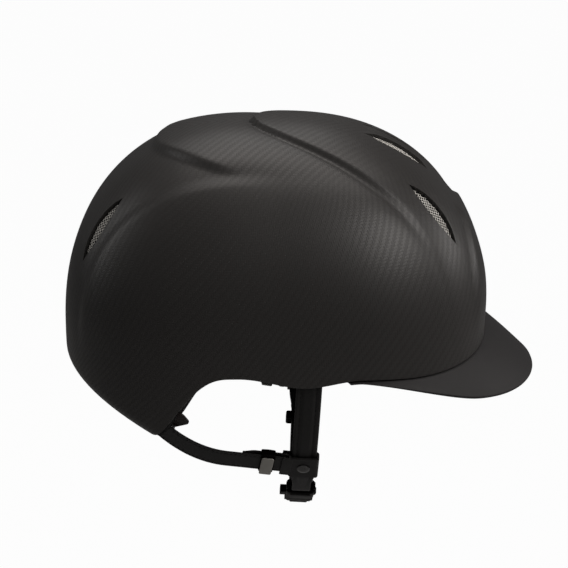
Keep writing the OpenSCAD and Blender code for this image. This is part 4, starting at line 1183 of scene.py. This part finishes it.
class HELMET_OT_anchor_tabs(bpy.types.Operator):
    """Cut the leather tabs at the rear straps' anchors"""

    bl_idname = "helmet.anchor_tabs"
    bl_label = "Anchor tabs"

    def execute(self, context):
        u = np.array(8.0 - 99)
        t, w, n, m = rear_frame(u)
        low = TURN_IN - 0.6 - 1.5 - 1.2
        for side, flip in (("right", 1), ("left", -1)):
            bm = bmesh.new()
            bmesh.ops.create_cube(bm, size=1)
            bmesh.ops.scale(bm, vec=(27, 10, 1.2), verts=bm.verts)
            corners = [e for e in bm.edges if abs(e.verts[0].co.z - e.verts[1].co.z) > 0.5]
            bmesh.ops.bevel(bm, geom=corners, offset=3.2, offset_type="OFFSET", segments=6, profile=0.5, affect="EDGES", clamp_overlap=True, material=-1)
            flat = [e for e in bm.edges if e.calc_face_angle(0) > 1.2]
            bmesh.ops.bevel(bm, geom=flat, offset=0.35, offset_type="OFFSET", segments=2, profile=0.5, affect="EDGES", clamp_overlap=True, material=-1)
            f = math.radians(101)
            ahead, aside = math.cos(f) * t + math.sin(f) * w, math.cos(f) * w - math.sin(f) * t
            move(bm, lambda c: mirror_y(at_rear(m + (c[:, :1] + 7.5) * ahead + c[:, 1:2] * aside + (c[:, 2:] + low + 0.6) * n), flip))
            finish(f"anchor_tab_leather_{side}", bm, material("nape"), replaces=[f"anchor_tab_{side}"], smooth=40)
        return {"FINISHED"}


BUCKLE = {"width": 18.4, "thick": 9.0, "body": (4.35, 28.35), "plug": 28.75, "throat": (7.2, 5.2), "pivot": 5.2, "arm": 15.0, "pad": 10.2}


def buckle_line():
    """The buckle's first bar, the direction to its second bar, and their distance"""
    thick = bpy.context.scene.helmet_harness.strap_thick / MM
    bars = [loop_point(q) + (BAR_GAP + thick / 2) * loop_normal(q) for q in (BUCKLE_RIGHT, BUCKLE_LEFT)]
    along = bars[1] - bars[0]
    span = np.linalg.norm(along)
    return bars[0], along / span, span


def in_buckle(p):
    """From the buckle's own frame, Y along it and Z outward from the chin, to the helmet's"""
    first, d, _ = buckle_line()
    p = np.asarray(p, float)
    return in_loop(np.stack([p[:, 0], first[0] + p[:, 1] * d[0] - p[:, 2] * d[1], first[1] + p[:, 1] * d[1] + p[:, 2] * d[0]], axis=1))


def cut(piece, tools):
    """Cuts the tools, in the buckle's frame, out of a piece"""
    made = []
    for bm in tools:
        move(bm, in_buckle)
        bmesh.ops.scale(bm, vec=(MM, MM, MM), verts=bm.verts)
        mesh = bpy.data.meshes.new("cutter")
        bm.to_mesh(mesh)
        bm.free()
        tool = bpy.data.objects.new("cutter", mesh)
        bpy.context.scene.collection.objects.link(tool)
        made.append(tool)
        modifier = piece.modifiers.new("opening", "BOOLEAN")
        modifier.operation, modifier.solver, modifier.object = "DIFFERENCE", "EXACT", tool
    apply_modifiers(piece)
    for tool in made:
        bpy.data.objects.remove(tool)


class HELMET_OT_buckle(bpy.types.Operator):
    """Model the ribbed chin buckle, its plug, its release arms and the strap adjuster"""

    bl_idname = "helmet.buckle"
    bl_label = "Buckle and adjuster"

    def execute(self, context):
        b = BUCKLE
        span = buckle_line()[2]
        start, end = b["body"]
        housing = shift(rounded_block((b["width"], end - start, b["thick"]), 2.4, 0.7), 0, (start + end) / 2, 0)
        ribs = [shift(rounded_block((b["width"] - 5.5, 0.9, 0.7), 0.3, 0.2, "x"), 0, start + 2.4 + 1.9 * k, s * b["thick"] / 2) for k in range(4) for s in (-1, 1)]
        piece = self.part("buckle_body", join(housing, self.bar(0, start), *ribs), "helmet", ["buckle_housing"])
        throat = shift(rounded_block((2 * b["throat"][0], end - start, b["throat"][1]), 0.8, 0.1), 0, (start + end) / 2 + 3, 0)
        window = [shift(rounded_block((6.2, 12.2, 5.0), 0.6, 0.2, "x"), s * 9.8, 20.95, 0) for s in (-1, 1)]
        cut(piece, [throat, *window])
        shade(piece.data, 40)
        plug_end = span - start
        plug = shift(rounded_block((b["width"] - 0.8, plug_end - b["plug"], b["thick"] - 1.4), 2.1, 0.7), 0, (b["plug"] + plug_end) / 2, 0)
        guide = shift(rounded_block((3.2, b["arm"] + 2, 4.4), 0.4, 0.3), 0, end - b["arm"] / 2 + 1, 0)
        self.part("buckle_plug_body", join(plug, guide, self.bar(span, -start)), "helmet", ["buckle_plug"])
        for s, place in ((1, "front"), (-1, "rear")):
            tip = b["plug"] + 1.7 - b["arm"]
            arm = shift(rounded_block((2.0, b["arm"] + 1.3, 4.4), 0.6, 0.25, "z"), s * b["pivot"], tip + (b["arm"] + 1.3) / 2, 0)
            wide = b["pad"] - b["pivot"]
            pad = shift(rounded_block((wide, b["arm"] - 6, 4.2), 1.0, 0.3, "z"), s * (b["pivot"] + wide / 2), tip + 1 + (b["arm"] - 6) / 2, 0)
            grips = [shift(rounded_block((0.5, 0.7, 3.6), 0.2, 0.15, "z"), s * (b["pad"] + 0.1), tip + 3 + 1.5 * k, 0) for k in range(4)]
            self.part(f"release_arm_body_{place}", join(arm, pad, *grips), f"release_{place}", [f"release_arm_{place}"])
        self.adjuster(context)
        return {"FINISHED"}

    def part(self, name, bm, body, replaces):
        move(bm, in_buckle)
        return finish(name, bm, material("plastic"), body=body, replaces=replaces, smooth=40, weld=False)

    def bar(self, y, reach):
        """The bar that a strap is folded round, with the cheeks that join it to the body"""
        half = BUCKLE["width"] / 2 - 0.8
        bar = bmesh.new()
        bmesh.ops.create_cone(bar, cap_ends=True, segments=32, radius1=1.1, radius2=1.1, depth=2 * half, matrix=Matrix.Rotation(math.pi / 2, 4, "Y"))
        cheeks = [shift(rounded_block((1.6, abs(reach) + 4, 4.6), 1.8, 0.3, "x"), s * half, reach / 2, 0) for s in (-1, 1)]
        return shift(join(bar, *cheeks), 0, y, 0)

    def adjuster(self, context):
        h = context.scene.helmet_harness
        step = h.strap_thick / MM + 1.4 + 0.6
        at = loop_point(ADJUSTER_AT) + step / 2 * loop_normal(ADJUSTER_AT)
        d = loop_dir(ADJUSTER_AT)
        slot = h.strap_thick / MM + 0.6
        width, deep = h.strap_width / MM + 0.6 + 3.0, 2 * slot + 1.4 + 3.0

        def where(along, around):
            path, normal = rounded_rect(along, width - 1.5, deep - 1.5, 0.6)
            sec, _ = rounded_rect(around, 1.5, 6.0, 0.5)
            out = path + normal * sec[:, :1]
            return np.stack([out[:, 0], sec[:, 1], out[:, 1]], axis=1)

        middle = rounded_block((width - 2.0, 5.6, 1.4), 0.5, 0.2, "x")
        bm = join(ring(20, 72, where), middle)
        move(bm, lambda c: in_loop(np.stack([c[:, 0], at[0] + c[:, 1] * d[0] - c[:, 2] * d[1], at[1] + c[:, 1] * d[1] + c[:, 2] * d[0]], axis=1)))
        finish("chin_adjuster_body", bm, material("plastic"), replaces=["chin_adjuster"], smooth=40, weld=False)


# Stage: each lamp's azimuth and height in degrees, its distance and size in metres, and its share of the power

LAMPS = (
    ("key", -40, 36, 1.45, (0.9, 0.7), 1.15, (1.0, 0.96, 0.93)),
    ("top", 60, 82, 1.35, (1.1, 1.0), 0.86, (1.0, 0.945, 0.905)),
    ("side", 12, 16, 1.5, (0.7, 0.45), 0.45, (1.0, 0.965, 0.94)),
    ("rear", 176, 26, 1.4, (0.6, 0.8), 0.28, (1.0, 0.985, 0.97)),
    ("behind", 95, 50, 1.4, (0.8, 0.6), 0.22, (1.0, 0.98, 0.96)),
)


class HELMET_OT_stage(bpy.types.Operator):
    """Set the floor, backdrop, lamps and camera"""

    bl_idname = "helmet.stage"
    bl_label = "Stage"

    def execute(self, context):
        s = context.scene.helmet_stage
        scene = context.scene
        data = bpy.data.cameras.new("photo_camera")
        data.lens, data.sensor_width, data.sensor_fit = s.lens, 36, "HORIZONTAL"
        data.clip_start, data.clip_end = 0.05, 50
        camera = bpy.data.objects.new("photo_camera", data)
        scene.collection.objects.link(camera)
        camera.location = s.camera_place
        camera.rotation_euler = (Vector(s.aim) - Vector(s.camera_place)).to_track_quat("-Z", "Y").to_euler()
        scene.camera = camera
        self.floor(s)
        for name, azimuth, height, distance, size, share, colour in LAMPS:
            a, h = math.radians(azimuth), math.radians(height)
            place = (distance * math.cos(h) * math.cos(a), distance * math.cos(h) * math.sin(a), distance * math.sin(h))
            self.lamp(name, place, (0.0, 0.0, 0.02), size, s.key_power * share, colour)
        self.world()
        scene.view_settings.view_transform = "Standard"
        return {"FINISHED"}

    def floor(self, s):
        bm = bmesh.new()
        bmesh.ops.create_grid(bm, x_segments=1, y_segments=1, size=6)
        bmesh.ops.translate(bm, verts=bm.verts, vec=(0, 0, s.floor_z))
        mesh = bpy.data.meshes.new("floor")
        bm.to_mesh(mesh)
        bm.free()
        floor = bpy.data.objects.new("floor", mesh)
        bpy.context.scene.collection.objects.link(floor)
        m = Nodes("pale_floor", (0.38, 0.38, 0.38), 0.9)
        white = m.add("Emission", {"Color": (1, 1, 1, 1), "Strength": 1.0})
        path = m.add("LightPath")
        seen = m.math("MAXIMUM", path.outputs["Is Camera Ray"], path.outputs["Is Transmission Ray"])
        blend = m.add("MixShader", {0: m.math("MULTIPLY", seen, 0.975), 1: m.shader.outputs[0], 2: white.outputs[0]})
        m.tree.links.new(blend.outputs[0], m.tree.nodes["Material Output"].inputs[0])
        mesh.materials.append(m.material)

    def lamp(self, name, place, aim, size, power, colour):
        data = bpy.data.lights.new(name, "AREA")
        data.shape, data.size, data.size_y = "RECTANGLE", size[0], size[1]
        data.energy, data.color = power, colour
        lamp = bpy.data.objects.new(name, data)
        bpy.context.scene.collection.objects.link(lamp)
        lamp.location = place
        lamp.rotation_euler = (Vector(aim) - Vector(place)).to_track_quat("-Z", "Y").to_euler()

    def world(self):
        world = bpy.data.worlds.new("studio")
        bpy.context.scene.world = world
        world.use_nodes = True
        tree = world.node_tree
        plain = tree.nodes["Background"]
        plain.inputs[0].default_value = (1, 1, 1, 1)
        plain.inputs[1].default_value = 0.09
        white = tree.nodes.new("ShaderNodeBackground")
        white.inputs[0].default_value = (1, 1, 1, 1)
        white.inputs[1].default_value = 1.0
        path = tree.nodes.new("ShaderNodeLightPath")
        mix = tree.nodes.new("ShaderNodeMixShader")
        tree.links.new(path.outputs["Is Camera Ray"], mix.inputs[0])
        tree.links.new(plain.outputs[0], mix.inputs[1])
        tree.links.new(white.outputs[0], mix.inputs[2])
        tree.links.new(mix.outputs[0], tree.nodes["World Output"].inputs[0])


OPERATORS = (
    HELMET_OT_stage,
    HELMET_OT_outer_shell,
    HELMET_OT_peak,
    HELMET_OT_vent_meshes,
    HELMET_OT_rim_trim,
    HELMET_OT_pads,
    HELMET_OT_liner,
    HELMET_OT_front_straps,
    HELMET_OT_rear_straps,
    HELMET_OT_keepers,
    HELMET_OT_sliders,
    HELMET_OT_anchor_tabs,
    HELMET_OT_buckle,
)
GROUPS = {
    "helmet_shell": HelmetShell,
    "helmet_lining": HelmetLining,
    "helmet_harness": HelmetHarness,
    "helmet_stage": HelmetStage,
}


class HELMET_PT_panel(bpy.types.Panel):
    """Lists the helmet's pieces, in the order in which they are made"""

    bl_label = "Riding Helmet"
    bl_idname = "HELMET_PT_panel"
    bl_space_type = "VIEW_3D"
    bl_region_type = "UI"
    bl_category = "Helmet"

    def draw(self, context):
        for name in GROUPS:
            box = self.layout.box()
            group = getattr(context.scene, name)
            for key in group.__annotations__:
                box.prop(group, key)
        for operator in OPERATORS:
            self.layout.operator(operator.bl_idname)


def register():
    for cls in (*GROUPS.values(), *OPERATORS, HELMET_PT_panel):
        bpy.utils.register_class(cls)
    for name, group in GROUPS.items():
        setattr(bpy.types.Scene, name, PointerProperty(type=group))


def unregister():
    for name in GROUPS:
        delattr(bpy.types.Scene, name)
    for cls in reversed((*GROUPS.values(), *OPERATORS, HELMET_PT_panel)):
        bpy.utils.unregister_class(cls)


def main():
    register()
    for operator in OPERATORS:
        group, name = operator.bl_idname.split(".")
        getattr(getattr(bpy.ops, group), name)()


if __name__ == "__main__":
    main()
